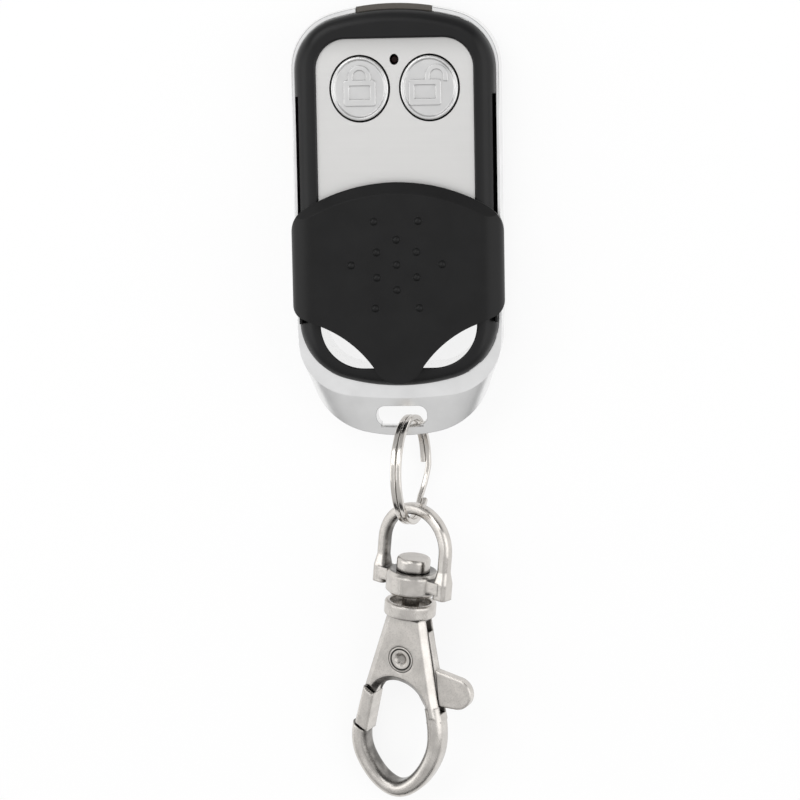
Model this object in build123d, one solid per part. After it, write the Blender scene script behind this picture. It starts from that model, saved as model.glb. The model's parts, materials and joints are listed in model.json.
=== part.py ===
from build123d import *
import math
import os

# Alarm key fob with a slide cover, hung from a split ring and a swivel snap hook.
# It lies on its back: +Z leaves the button face, +Y runs to the closed end away from the ring.
# The origin is the middle of the flat back face. All lengths are in millimetres.

# Each ..._DROP is measured down from the casing's top end and each ..._RISE up from its lower end,
# unless its comment names another edge.

# Casing outline
CASE_LENGTH = 60.3
CASE_WIDTH = 29.2
CASE_TOP_ARC_R = 32.0
CASE_TOP_CORNER_R = 7.8
CASE_KNEE_RISE = 15.55
CASE_KNEE_R = 25.0
CASE_FOOT_INSET = 3.4
CASE_FOOT_CORNER_R = 9.8
CASE_BOTTOM_ARC_R = 24.0

# Chrome frame: a hoop with a bevel to the front and back, and a web with the lanyard slot
FRAME_WALL = 0.75
FRAME_TOP_WALL = 0.95
FRAME_BACK_Z = 1.7
FRAME_FRONT_Z = 8.5
FRAME_BELT_LOW_Z = 5.15
FRAME_BELT_HIGH_Z = 6.65
LIP_INSET = 0.3
LIP_BOTTOM_RISE = 5.5
LIP_BOTTOM_ARC_R = 60.0
LIP_FOOT_INSET = 0.15
LIP_CORNER_R = 8.0
SLOT_WIDTH = 7.15
SLOT_HEIGHT = 2.85
SLOT_CORNER_R = 1.25
SLOT_BAR = 1.5
SLOT_BAR_DEPTH = 2.1
SLOT_BAR_Z = 6.05
SLOT_BAR_EDGE_R = 0.5
TOP_GAP_WIDTH = 10.5
TOP_GAP_DEPTH = 5.0

# Brushed insert in the frame's top gap
INSERT_RECESS = 0.1
INSERT_SIDE_GAP = 0.06
INSERT_BACK_GAP = 0.05
INSERT_Z_MARGIN = 0.15

# Black housing halves
HOUSING_FOOT_RISE = 7.35
HOUSING_TOP_ARC_R = 32.0
HOUSING_TOP_CORNER_R = 7.4
HOUSING_BOTTOM_ARC_R = 28.0
HOUSING_BOTTOM_CORNER_R = 8.5
HOUSING_GAP = 0.04
PARTING_Z = 4.6
PARTING_GAP = 0.05
BEZEL_Z = 10.4
BEZEL_EDGE_R = 1.7
BACK_EDGE_R = 0.9
INNER_EDGE_R = 0.25

# Room for the electronics
CAVITY_WALL = 2.15
CAVITY_TOP_WALL = 2.05
CAVITY_BOTTOM_RISE = 24.55
CAVITY_CORNER_R = 5.0
FRONT_WALL_BACK_Z = 8.35
FLOOR_Z = 1.2

# Open window below the electronics
WINDOW_WALL = 3.0
WINDOW_TOP_RISE = 21.55
WINDOW_BOTTOM_RISE = 9.95
WINDOW_CORNER_R = 6.0
WINDOW_TOP_CORNER_R = 2.5
WINDOW_RIM_DEPTH = 2.2
WINDOW_STEP = 0.1

# Brushed face panel
PANEL_WALL = 3.0
PANEL_TOP_DROP = 4.9
PANEL_BOTTOM_RISE = 23.55
PANEL_CORNER_R = 4.2
PANEL_FOOT_CORNER_R = 1.0
PANEL_THICKNESS = 0.5
PANEL_RECESS = 0.55
PANEL_GAP = 0.05

# Buttons, their silicone pads and their switches; the shares are of the panel's width
BUTTON_SPACING_SHARE = 0.4424
BUTTON_WIDTH_SHARE = 0.364
BUTTON_DROP = 11.72
BUTTON_HEIGHT = 8.75
BUTTON_GAP = 0.25
BUTTON_PROUD = 0.4
BUTTON_EDGE_R = 0.2
BUTTON_RIM = 0.35
BUTTON_DISH = 0.2
BUTTON_DISH_EDGE = 0.2

# Raised outline padlocks on the buttons, each measured from its button's middle
ICON_LINE = 0.72
ICON_SINK = 0.1
ICON_BODY_WIDTH = 4.37
ICON_BODY_HEIGHT = 3.5
ICON_BODY_Y = -0.62
ICON_FOOT_LINE = 0.88
ICON_CORNER_R = 0.35
ICON_HOOP_LINE = 0.62
ICON_HOOP_WIDTH = 3.12
ICON_HOOP_TOP_Y = 3.15
ICON_OPEN_X = 1.0
ICON_OPEN_SHIFT = -0.6
ICON_OPEN_END_Y = 0.9
PAD_THICKNESS = 0.6
PAD_GAP = 0.05
PAD_LAP_X = 0.18
PAD_LAP_Y = 0.4
SWITCH_SIZE = 4.4
SWITCH_HEIGHT = 1.55
PLUNGER_R = 1.0
PLUNGER_GAP = 0.06
PLUNGER_LENGTH = 1.0
PLUNGER_WELL = 0.95

# Indicator lamp
LAMP_DROP = 7.8
LAMP_HOLE_WIDTH = 1.25
LAMP_HOLE_HEIGHT = 1.5
LAMP_R = 0.5
LAMP_BASE_R = 0.85
LAMP_BASE_HEIGHT = 0.8
LAMP_SINK = 0.6

# Circuit board and what is soldered to it; drops and rises are from the cavity's ends
BOARD_Z = 4.8
BOARD_THICKNESS = 0.8
BOARD_EDGE_GAP = 0.2
CHIP_WIDTH = 4.0
CHIP_LENGTH = 5.0
CHIP_HEIGHT = 1.5
CHIP_X = -4.6
CHIP_RISE = 8.0
LEAD_COUNT = 4
LEAD_PITCH = 1.27
LEAD_WIDTH = 0.4
LEAD_REACH = 1.0
LEAD_THICKNESS = 0.25
RESONATOR_R = 2.3
RESONATOR_HEIGHT = 1.4
RESONATOR_RIM = 0.35
RESONATOR_RIM_HEIGHT = 0.3
RESONATOR_X = 4.6
RESONATOR_RISE = 8.0
CRYSTAL_LENGTH = 3.2
CRYSTAL_WIDTH = 1.6
CRYSTAL_HEIGHT = 0.9
CRYSTAL_RISE = 12.5
CRYSTAL_EDGE_R = 0.3
AERIAL_WIDTH = 0.6
AERIAL_THICKNESS = 0.12
AERIAL_INSET = 0.5
AERIAL_CORNER_R = 1.5
AERIAL_TOP_DROP = 5.75
AERIAL_LENGTH = 13.65

# Coin cell and its contacts
CELL_SIDE_GAP = 1.7
CELL_FOOT_GAP = 0.8
CELL_THICKNESS = 1.6
CELL_Z = 2.62
CELL_EDGE_R = 0.25
CELL_CAP_INSET = 1.6
CELL_CAP_STEP = 0.2
CLIP_WIDTH = 6.0
CLIP_THICKNESS = 0.3
CLIP_GAP = 0.05
CONTACT_R = 2.6
CONTACT_TIP_R = 0.9

# Screws and posts; insets, drops and rises are from the cavity's edges
SCREW_INSET = 2.5
SCREW_TOP_DROP = 3.25
SCREW_LOW_DROP = 1.5
SCREW_R = 0.75
SCREW_GAP = 0.05
SCREW_HEAD_R = 1.3
SCREW_HEAD_HEIGHT = 0.8
SCREW_HEAD_SINK = 0.35
SCREW_HEAD_GAP = 0.12
SCREW_END_Z = 7.9
SCREW_SLOT = 0.4
SCREW_SLOT_DEPTH = 0.4
BOSS_R = 1.6
BOSS_GAP = 0.15
POST_R = 0.8
POST_INSET = 1.2
POST_TOP_DROP = 6.0
POST_LOW_RISE = 1.3

# Slide cover
COVER_PROUD = 0.15
COVER_TOP_RISE = 35.75
COVER_TOP_ARC_R = 24.7
COVER_TOP_CORNER_R = 4.2
COVER_SIDE_RISE = 17.65
COVER_SIDE_CORNER_R = 2.2
COVER_WAIST_INSET = 3.85
COVER_WAIST_RISE = 16.1
COVER_TAIL_X = 3.45
COVER_TAIL_RISE = 10.25
COVER_TAIL_SAG = 0.71
COVER_TIP_RISE = 7.95
COVER_Z = 12.25
COVER_BOTTOM_Z = 8.68
COVER_UNDER_Z = 10.65
COVER_WALL = 0.85
COVER_SIDE_R = 3.0
COVER_BEVEL = 1.55
COVER_BEVEL_DROP = 1.15
COVER_TAIL_BREAK_RISE = 18.65
COVER_TAIL_DROP = 0.75
COVER_TRAVEL_SHARE = 0.35
DOME_R = 0.55
DOME_HEIGHT = 0.38
DOME_X = 3.05
DOME_WIDE_X = 6.28
DOME_MID_X = 2.75
DOME_RISE = 24.47
DOME_STEP_Y = 3.46
DOME_HALF_STEP_Y = 1.74
DOME_OUTER_Y = 5.98

# Runner legs of the cover, and their grooves in the front housing
LEG_THICKNESS = 0.35
LEG_LENGTH = 10.2
LEG_TOP_RISE = 26.45
LEG_Z = 6.2
LEG_FOOT = 0.67
LEG_FOOT_HEIGHT = 0.6
GROOVE_DEPTH = 0.5
GROOVE_GAP = 0.08
GROOVE_FOOT_GAP = 0.15
GROOVE_END_GAP = 0.1

# Split ring
RING_R = 7.75
RING_WIRE_DEPTH = 0.8
RING_WIRE_WIDTH = 0.72
RING_COIL_GAP = 0.05
RING_EDGE_R = 0.2
RING_REACH = 5.75
RING_X = 1.2
RING_RISE = 1.9
RING_YAW = 13.0
RING_SPLIT_DEG = 248.0
RING_CROSS_DEG = 36.0
RING_END_GAP_DEG = 4.0

# Swivel bail
BAIL_HALF = 5.5
BAIL_WIRE = 1.65
BAIL_WIRE_DEPTH = 1.75
BAIL_EDGE_R = 0.6
BAIL_ARCH_Y = 8.0
SHOE_WIDTH = 2.1
SHOE_DEPTH = 2.4
SHOE_EDGE_R = 0.6
SHOE_LOW_Y = 1.6
SHOE_HIGH_Y = 4.0
SHOE_NECK_Y = 5.6
STRAP_LOW_Y = 2.3
STRAP_HIGH_Y = 4.0
STRAP_DEPTH = 2.6
BOSS_LOW_Y = 1.3
BOSS_HIGH_Y = 4.55
BOSS_OUTER_R = 3.75
BOSS_EDGE = 0.4
BAIL_YAW = 35.0

# Swivel post
POST_SHANK_R = 1.25
POST_RUN_GAP = 0.08
POST_SEAT_GAP = 0.03
POST_HEAD_R = 2.4
POST_HEAD_LOW_Y = 4.65
POST_HEAD_HIGH_Y = 6.5
POST_HEAD_EDGE_R = 0.45
POST_FOOT_Y = -1.9

# Snap hook
HOOK_LENGTH = 29.45
HOOK_HALF = 7.25
HOOK_THICKNESS = 3.8
HOOK_EDGE = 0.85
COLLAR_R = 3.7
COLLAR_HEIGHT = 2.0
COLLAR_CUP_R = 3.0
COLLAR_CUP_DEPTH = 0.9
COLLAR_EDGE_R = 0.3
NECK_HALF = 2.85
NECK_SINK = 0.4
SHOULDER_X = 5.7
SHOULDER_Y = -13.2
CHEEK_OUT_X = -5.65
CHEEK_OUT_Y = -13.6
CHEEK_IN_X = -3.95
CHEEK_IN_Y = -14.5
FORK_OUT_X = 6.75
FORK_OUT_Y = -16.6
FORK_IN_X = 4.4
FORK_IN_Y = -17.3
ARCH_CROWN_X = -0.6
ARCH_CROWN_Y = -11.95
LEVER_SLOT = 1.8
LEVER_SLOT_HIGH_Y = -2.3
LEVER_SLOT_LOW_Y = -15.6
HOOK_YAW = 22.0

# Centre line of the hook's bow, from inside the right cheek round to the nose, as shares of the
# hook's half width and length
BOW_SHARES = (
    (0.697, -0.506), (0.793, -0.611), (0.807, -0.713), (0.655, -0.829), (0.39, -0.92), (0.06, -0.963),
    (-0.3, -0.938), (-0.595, -0.872), (-0.79, -0.793), (-0.845, -0.71), (-0.805, -0.632),
)
BOW_WIDTH = 2.4
BOW_DEPTH = 3.5
BOW_EDGE_R = 1.1

# Trigger lever, its rivet and spring
RIVET_Y = -8.4
RIVET_R = 0.9
RIVET_RUN_GAP = 0.06
RIVET_HEAD_R = 1.85
RIVET_HEAD_GAP = 0.1
RIVET_HEAD_DEPTH = 0.5
RIVET_DISH_R = 1.0
RIVET_DISH_DEPTH = 0.45
LEVER_THICKNESS = 1.5
LEVER_POCKET_R = 1.75
LEVER_POCKET_DEPTH = 0.9
GATE_THICKNESS = 3.5
GATE_GAP = 0.15
GATE_EDGE = 0.3
GATE_REACH = 13.1
GATE_OUT_X = -7.0
GATE_IN_X = -4.85
GATE_LOW_Y = -21.5
TAB_EDGE_R = 0.25
TAB_X = 8.45
TAB_Y = -12.1
TAB_R = 2.3
SPRING_R = 1.38
SPRING_WIRE_R = 0.12
SPRING_PITCH = 0.3
SPRING_TURNS = 2

# Corners of the lever's plate, as shares of the hook's half width and length
LEVER_RIGHT_SHARES = ((0.36, -0.14), (0.49, -0.135), (0.69, -0.315))
LEVER_LOW_SHARES = ((0.80, -0.494), (0.50, -0.50), (0.28, -0.425), (0.0, -0.378), (-0.26, -0.376))
LEVER_GATE_SHARES = ((-0.50, -0.42), (-0.58, -0.52), (-0.72, -0.52), (-0.76, -0.45), (-0.30, -0.24))

# Place of the hook and bail: the arch's top and the way the swivel axis leans
ARCH_TOP_X = 2.05
ARCH_TOP_GAP = 0.45
AXIS_LEAN = 5.7
AXIS_TILT = 6.0

# How far every cutter runs past the faces that it cuts
OVERRUN = 1.0

# Edges within this distance of a level count as lying in it
LEVEL_TOLERANCE = 0.005

# Heights on the casing, from its two ends
CASE_TOP_Y = CASE_LENGTH / 2
CASE_LOW_Y = -CASE_LENGTH / 2
CASE_KNEE_Y = CASE_LOW_Y + CASE_KNEE_RISE
LIP_BOTTOM_Y = CASE_LOW_Y + LIP_BOTTOM_RISE
BAR_Y = CASE_LOW_Y + SLOT_BAR / 2
HOUSING_TOP_Y = CASE_TOP_Y - FRAME_TOP_WALL
HOUSING_BOTTOM_Y = CASE_LOW_Y + HOUSING_FOOT_RISE
CAVITY_TOP_Y = HOUSING_TOP_Y - CAVITY_TOP_WALL
CAVITY_BOTTOM_Y = CASE_LOW_Y + CAVITY_BOTTOM_RISE
WINDOW_TOP_Y = CASE_LOW_Y + WINDOW_TOP_RISE
WINDOW_BOTTOM_Y = CASE_LOW_Y + WINDOW_BOTTOM_RISE
PANEL_TOP_Y = CASE_TOP_Y - PANEL_TOP_DROP
PANEL_BOTTOM_Y = CASE_LOW_Y + PANEL_BOTTOM_RISE
BUTTON_Y = CASE_TOP_Y - BUTTON_DROP
LAMP_Y = CASE_TOP_Y - LAMP_DROP
COVER_TOP_Y = CASE_LOW_Y + COVER_TOP_RISE
COVER_SIDE_Y = CASE_LOW_Y + COVER_SIDE_RISE
COVER_WAIST_Y = CASE_LOW_Y + COVER_WAIST_RISE
COVER_TAIL_Y = CASE_LOW_Y + COVER_TAIL_RISE
COVER_TIP_Y = CASE_LOW_Y + COVER_TIP_RISE
COVER_TAIL_BREAK_Y = CASE_LOW_Y + COVER_TAIL_BREAK_RISE
COVER_TRAVEL = COVER_TRAVEL_SHARE * CASE_LENGTH
DOME_Y = CASE_LOW_Y + DOME_RISE
LEG_TOP_Y = CASE_LOW_Y + LEG_TOP_RISE

# Widths on the casing, from its outer width inwards
CASE_FOOT_WIDTH = CASE_WIDTH - 2 * CASE_FOOT_INSET
HOUSING_WIDTH = CASE_WIDTH - 2 * FRAME_WALL
CAVITY_WIDTH = HOUSING_WIDTH - 2 * CAVITY_WALL
WINDOW_WIDTH = HOUSING_WIDTH - 2 * WINDOW_WALL
PANEL_WIDTH = HOUSING_WIDTH - 2 * PANEL_WALL
BUTTON_SPACING = BUTTON_SPACING_SHARE * PANEL_WIDTH
BUTTON_WIDTH = BUTTON_WIDTH_SHARE * PANEL_WIDTH
COVER_WIDTH = CASE_WIDTH + 2 * COVER_PROUD
COVER_WAIST_X = COVER_WIDTH / 2 - COVER_WAIST_INSET

# Levels and places inside
BOARD_TOP_Z = BOARD_Z + BOARD_THICKNESS
PANEL_Z = BEZEL_Z - PANEL_RECESS
CELL_R = CAVITY_WIDTH / 2 - CELL_SIDE_GAP
CELL_Y = CAVITY_BOTTOM_Y + CELL_FOOT_GAP + CELL_R
CELL_TOP_Z = CELL_Z + CELL_THICKNESS
CHIP_Y = CAVITY_BOTTOM_Y + CHIP_RISE
RESONATOR_Y = CAVITY_BOTTOM_Y + RESONATOR_RISE
CRYSTAL_Y = CAVITY_BOTTOM_Y + CRYSTAL_RISE
AERIAL_TOP_Y = CAVITY_TOP_Y - AERIAL_TOP_DROP
SCREW_X = CAVITY_WIDTH / 2 - SCREW_INSET
SCREW_SPOTS = [
    (side * SCREW_X, y)
    for side in (-1, 1)
    for y in (CAVITY_TOP_Y - SCREW_TOP_DROP, CAVITY_BOTTOM_Y - SCREW_LOW_DROP)
]
POST_X = CAVITY_WIDTH / 2 - POST_INSET
POST_HEIGHTS = (CAVITY_TOP_Y - POST_TOP_DROP, CAVITY_BOTTOM_Y + POST_LOW_RISE)


def sag(radius, half):
    """How far an arc of this radius falls away from its top over half its width."""
    return radius - math.sqrt(radius ** 2 - half ** 2)


def hoop(half, top, bottom, top_arc, top_corner, knee, foot, bottom_arc, knee_r, corner):
    """Face of the casing's outline: arched ends, straight sides, flanks drawn in to the foot."""
    top_y = top - sag(top_arc, half)
    foot_y = bottom + sag(bottom_arc, foot)
    lines = [
        ThreePointArc((-half, top_y), (0, top), (half, top_y)),
        Line((half, top_y), (half, knee)),
        Line((half, knee), (foot, foot_y)),
        ThreePointArc((foot, foot_y), (0, bottom), (-foot, foot_y)),
        Line((-foot, foot_y), (-half, knee)),
        Line((-half, knee), (-half, top_y)),
    ]
    face = make_face(Curve() + lines)
    face = fillet(at_height(face, top_y), top_corner)
    face = fillet(at_height(face, knee), knee_r)
    return fillet(at_height(face, foot_y), corner)


def at_height(face, y):
    """The two outline corners that lie at height y."""
    return face.vertices().sort_by(lambda v: abs(v.Y - y))[:2]


def belt_face():
    return hoop(CASE_WIDTH / 2, CASE_TOP_Y, CASE_LOW_Y, CASE_TOP_ARC_R, CASE_TOP_CORNER_R,
                CASE_KNEE_Y, CASE_FOOT_WIDTH / 2, CASE_BOTTOM_ARC_R, CASE_KNEE_R, CASE_FOOT_CORNER_R)


def lip_face():
    half = CASE_WIDTH / 2 - LIP_INSET
    return hoop(half, CASE_TOP_Y - LIP_INSET, LIP_BOTTOM_Y, CASE_TOP_ARC_R, CASE_TOP_CORNER_R,
                CASE_KNEE_Y, half - LIP_FOOT_INSET, LIP_BOTTOM_ARC_R, CASE_KNEE_R, LIP_CORNER_R)


def housing_face(grow=0.0):
    """The outline of both black halves, larger all round by grow."""
    half = HOUSING_WIDTH / 2 + grow
    top = HOUSING_TOP_Y + grow
    bottom = HOUSING_BOTTOM_Y - grow
    top_y = top - sag(HOUSING_TOP_ARC_R, half)
    foot_y = bottom + sag(HOUSING_BOTTOM_ARC_R, half)
    lines = [
        ThreePointArc((-half, top_y), (0, top), (half, top_y)),
        Line((half, top_y), (half, foot_y)),
        ThreePointArc((half, foot_y), (0, bottom), (-half, foot_y)),
        Line((-half, foot_y), (-half, top_y)),
    ]
    face = make_face(Curve() + lines)
    face = fillet(at_height(face, top_y), HOUSING_TOP_CORNER_R + grow)
    return fillet(at_height(face, foot_y), HOUSING_BOTTOM_CORNER_R + grow)


def plate_face(width, top, bottom, top_corner, bottom_corner):
    """A rectangle between two heights with its own radius at the upper and lower corners."""
    face = Pos(0, (top + bottom) / 2) * Rectangle(width, top - bottom)
    face = fillet(at_height(face, top), top_corner)
    return fillet(at_height(face, bottom), bottom_corner)


def prism(face, low, high):
    """The face made solid between two levels."""
    return extrude(Pos(0, 0, low) * face, high - low)


def block(x0, x1, y0, y1, z0, z1):
    return Pos((x0 + x1) / 2, (y0 + y1) / 2, (z0 + z1) / 2) * Box(x1 - x0, y1 - y0, z1 - z0)


def pillar(x, y, radius, low, high):
    return Pos(x, y, (low + high) / 2) * Cylinder(radius, high - low)


def edges_at(part, z):
    """Edges that lie flat at level z."""
    return part.edges().filter_by(lambda e: abs(e.bounding_box().min.Z - z) < LEVEL_TOLERANCE
                                  and abs(e.bounding_box().max.Z - z) < LEVEL_TOLERANCE)


def make_chrome_frame():
    """Cast hoop: a level belt, bevelled to a narrower lip at the front and at the back."""
    belt, lip = belt_face(), lip_face()
    front = loft([Pos(0, 0, FRAME_BELT_HIGH_Z) * belt, Pos(0, 0, FRAME_FRONT_Z) * lip], ruled=True)
    back = loft([Pos(0, 0, FRAME_BACK_Z) * lip, Pos(0, 0, FRAME_BELT_LOW_Z) * belt], ruled=True)
    frame = prism(belt, FRAME_BELT_LOW_Z, FRAME_BELT_HIGH_Z) + front + back
    frame -= prism(housing_face(HOUSING_GAP), -OVERRUN, BEZEL_Z)
    slot_y = BAR_Y + (SLOT_BAR + SLOT_HEIGHT) / 2
    slot = Pos(0, slot_y) * RectangleRounded(SLOT_WIDTH, SLOT_HEIGHT, SLOT_CORNER_R)
    frame -= prism(slot, -OVERRUN, BEZEL_Z)
    frame -= bar_trim()
    half = TOP_GAP_WIDTH / 2
    frame -= block(-half, half, CASE_TOP_Y - TOP_GAP_DEPTH, CASE_TOP_Y + OVERRUN, -OVERRUN, BEZEL_Z)
    return frame


def bar_trim():
    """Cutter that leaves a slim rounded bar below the slot."""
    length = SLOT_WIDTH - SLOT_CORNER_R
    around = Rectangle(2 * SLOT_BAR, CASE_WIDTH)
    around -= RectangleRounded(SLOT_BAR, SLOT_BAR_DEPTH, SLOT_BAR_EDGE_R)
    return Pos(-length / 2, BAR_Y, SLOT_BAR_Z) * (Plane.YZ * extrude(around, length))


def make_top_insert():
    """Strip that closes the frame's gap, a little behind its surface."""
    top = CASE_TOP_Y - INSERT_RECESS
    low, high = FRAME_BACK_Z + INSERT_Z_MARGIN, FRAME_FRONT_Z - INSERT_Z_MARGIN
    face = hoop(CASE_WIDTH / 2, top, CASE_LOW_Y, CASE_TOP_ARC_R, CASE_TOP_CORNER_R,
                CASE_KNEE_Y, CASE_FOOT_WIDTH / 2, CASE_BOTTOM_ARC_R, CASE_KNEE_R, CASE_FOOT_CORNER_R)
    half = TOP_GAP_WIDTH / 2 - INSERT_SIDE_GAP
    strip = prism(face, low, high) & block(-half, half, top - TOP_GAP_DEPTH, top + OVERRUN, low, high)
    return strip - prism(housing_face(INSERT_BACK_GAP), -OVERRUN, BEZEL_Z)


def cavity(low, high):
    face = plate_face(CAVITY_WIDTH, CAVITY_TOP_Y, CAVITY_BOTTOM_Y, CAVITY_CORNER_R, PANEL_FOOT_CORNER_R)
    return prism(face, low, high)


def window(low, high, grow=0.0):
    face = plate_face(WINDOW_WIDTH + 2 * grow, WINDOW_TOP_Y, WINDOW_BOTTOM_Y - grow,
                      WINDOW_TOP_CORNER_R, WINDOW_CORNER_R + grow)
    return prism(face, low, high)


def button_face(grow=0.0):
    return Ellipse(BUTTON_WIDTH / 2 + grow, BUTTON_HEIGHT / 2 + grow)


def button_spots():
    return [Pos(side * BUTTON_SPACING / 2, BUTTON_Y) for side in (-1, 1)]


def groove(side):
    """Channel down the housing's side for one runner leg, wider below for its foot."""
    edge = HOUSING_WIDTH / 2
    low_y = LEG_TOP_Y - LEG_LENGTH - GROOVE_END_GAP
    high_y = LEG_TOP_Y + COVER_TRAVEL + GROOVE_END_GAP
    low_z = LEG_Z - GROOVE_FOOT_GAP
    foot_z = LEG_Z + LEG_FOOT_HEIGHT + GROOVE_FOOT_GAP
    foot_x = leg_inner_x() - LEG_FOOT - GROOVE_GAP
    slot = block(edge - GROOVE_DEPTH, edge + OVERRUN, low_y, high_y, low_z, BEZEL_Z + OVERRUN)
    slot += block(foot_x, edge + OVERRUN, low_y, high_y, low_z, foot_z)
    return slot if side > 0 else mirror(slot, about=Plane.YZ)


def leg_inner_x():
    return HOUSING_WIDTH / 2 - GROOVE_DEPTH + GROOVE_GAP


def make_front_housing():
    """Raised bezel round the panel and the window, hollow behind the panel, grooved at the sides."""
    shell = prism(housing_face(), PARTING_Z, BEZEL_Z)
    shell = fillet(edges_at(shell, BEZEL_Z), BEZEL_EDGE_R)
    shell -= cavity(PARTING_Z - OVERRUN, FRONT_WALL_BACK_Z)
    pocket = plate_face(PANEL_WIDTH + 2 * PANEL_GAP, PANEL_TOP_Y + PANEL_GAP, PANEL_BOTTOM_Y - PANEL_GAP,
                        PANEL_CORNER_R, PANEL_FOOT_CORNER_R)
    shell -= prism(pocket, PANEL_Z - PANEL_THICKNESS, BEZEL_Z + OVERRUN)
    rim_z = BEZEL_Z - WINDOW_RIM_DEPTH
    shell -= window(rim_z - OVERRUN, BEZEL_Z + OVERRUN)
    shell -= window(PARTING_Z - OVERRUN, rim_z, WINDOW_STEP / 2)
    shell = fillet(edges_at(shell, BEZEL_Z), INNER_EDGE_R)
    for spot in button_spots():
        shell -= spot * prism(button_face(BUTTON_GAP), FRONT_WALL_BACK_Z - OVERRUN, BEZEL_Z)
    lamp = Pos(0, LAMP_Y) * Ellipse(LAMP_HOLE_WIDTH / 2, LAMP_HOLE_HEIGHT / 2)
    shell -= prism(lamp, FRONT_WALL_BACK_Z - OVERRUN, BEZEL_Z)
    for side in (-1, 1):
        shell -= groove(side)
    for x, y in SCREW_SPOTS:
        shell += pillar(x, y, BOSS_R, PARTING_Z, FRONT_WALL_BACK_Z)
        shell -= pillar(x, y, SCREW_R + SCREW_GAP, PARTING_Z - OVERRUN, SCREW_END_Z + SCREW_GAP)
    return shell


def make_rear_housing():
    """Back half: a tray with a flat back, screw wells, board posts and the same window."""
    top = PARTING_Z - PARTING_GAP
    shell = prism(housing_face(), 0, top)
    shell = fillet(edges_at(shell, 0), BACK_EDGE_R)
    shell -= cavity(FLOOR_Z, top + OVERRUN)
    shell -= window(-OVERRUN, top + OVERRUN, WINDOW_STEP)
    for x, y in SCREW_SPOTS:
        shell += pillar(x, y, BOSS_R, FLOOR_Z, top)
    for x, y in SCREW_SPOTS:
        well = SCREW_HEAD_SINK + SCREW_HEAD_HEIGHT
        shell -= pillar(x, y, SCREW_HEAD_R + SCREW_HEAD_GAP, -OVERRUN, well)
        shell -= pillar(x, y, SCREW_R + SCREW_GAP, -OVERRUN, top + OVERRUN)
    for side in (-1, 1):
        for y in POST_HEIGHTS:
            shell += pillar(side * POST_X, y, POST_R, FLOOR_Z, BOARD_Z)
    return shell


def make_face_panel():
    face = plate_face(PANEL_WIDTH, PANEL_TOP_Y, PANEL_BOTTOM_Y, PANEL_CORNER_R, PANEL_FOOT_CORNER_R)
    for spot in button_spots():
        face -= spot * button_face(BUTTON_GAP)
    face -= Pos(0, LAMP_Y) * Ellipse(LAMP_HOLE_WIDTH / 2, LAMP_HOLE_HEIGHT / 2)
    return prism(face, PANEL_Z - PANEL_THICKNESS, PANEL_Z)


def pad_levels():
    top = FRONT_WALL_BACK_Z - PAD_GAP
    return top - PAD_THICKNESS, top


def icon_hoop(x, left_y, right_y):
    """The padlock's shackle: a round arch whose two legs end at their own heights."""
    half = ICON_HOOP_WIDTH / 2
    spring_y = ICON_HOOP_TOP_Y - half
    line = ICON_HOOP_LINE
    arch = Pos(x, spring_y) * (Circle(half) - Circle(half - line))
    arch &= Pos(x, spring_y + half) * Rectangle(2 * half, 2 * half)
    for side, low in ((-1, left_y), (1, right_y)):
        arch += Pos(x + side * (half - line / 2), (low + spring_y) / 2) * Rectangle(line, spring_y - low)
    return arch


def icon_face(is_open):
    """Outline padlock, with its shackle swung aside when it is open."""
    shift = ICON_OPEN_SHIFT if is_open else 0
    body = Pos(shift, ICON_BODY_Y) * RectangleRounded(ICON_BODY_WIDTH, ICON_BODY_HEIGHT, ICON_CORNER_R)
    inner_height = ICON_BODY_HEIGHT - ICON_LINE / 2 - ICON_FOOT_LINE - ICON_LINE / 2
    inner_y = ICON_BODY_Y + (ICON_FOOT_LINE - ICON_LINE) / 2
    body -= Pos(shift, inner_y) * Rectangle(ICON_BODY_WIDTH - 2 * ICON_LINE, inner_height)
    top_y = ICON_BODY_Y + (ICON_BODY_HEIGHT - ICON_LINE) / 2
    if is_open:
        return body + icon_hoop(ICON_OPEN_X, top_y, ICON_OPEN_END_Y)
    return body + icon_hoop(0, top_y, top_y)


def make_button(spot, is_open):
    """Metal cap with a narrow rim, a dished face and a raised outline padlock."""
    top = PANEL_Z + BUTTON_PROUD
    cap = prism(button_face(), pad_levels()[1], top)
    cap = fillet(edges_at(cap, top), BUTTON_EDGE_R)
    dish = loft([
        Pos(0, 0, top - BUTTON_DISH) * button_face(-BUTTON_RIM - BUTTON_DISH_EDGE),
        Pos(0, 0, top) * button_face(-BUTTON_RIM),
    ])
    icon = prism(icon_face(is_open), top - BUTTON_DISH - ICON_SINK, top)
    return spot * (cap - dish + icon)


def make_pad(spot):
    low, high = pad_levels()
    face = Ellipse(BUTTON_SPACING / 2 - PAD_LAP_X / 2, BUTTON_HEIGHT / 2 + BUTTON_GAP + PAD_LAP_Y)
    return spot * prism(face, low, high)


def make_switch(spot):
    top = BOARD_TOP_Z + SWITCH_HEIGHT
    body = prism(Rectangle(SWITCH_SIZE, SWITCH_SIZE), BOARD_TOP_Z, top)
    body -= pillar(0, 0, PLUNGER_R + PLUNGER_GAP, top - PLUNGER_WELL, top + OVERRUN)
    return spot * body


def make_plunger(spot):
    high = pad_levels()[0]
    return spot * pillar(0, 0, PLUNGER_R, high - PLUNGER_LENGTH, high)


def make_status_lamp():
    top = PANEL_Z - LAMP_SINK
    lamp = pillar(0, LAMP_Y, LAMP_BASE_R, BOARD_TOP_Z, BOARD_TOP_Z + LAMP_BASE_HEIGHT)
    stem = pillar(0, LAMP_Y, LAMP_R, BOARD_TOP_Z, top)
    return lamp + fillet(edges_at(stem, top), LAMP_R / 2)


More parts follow.
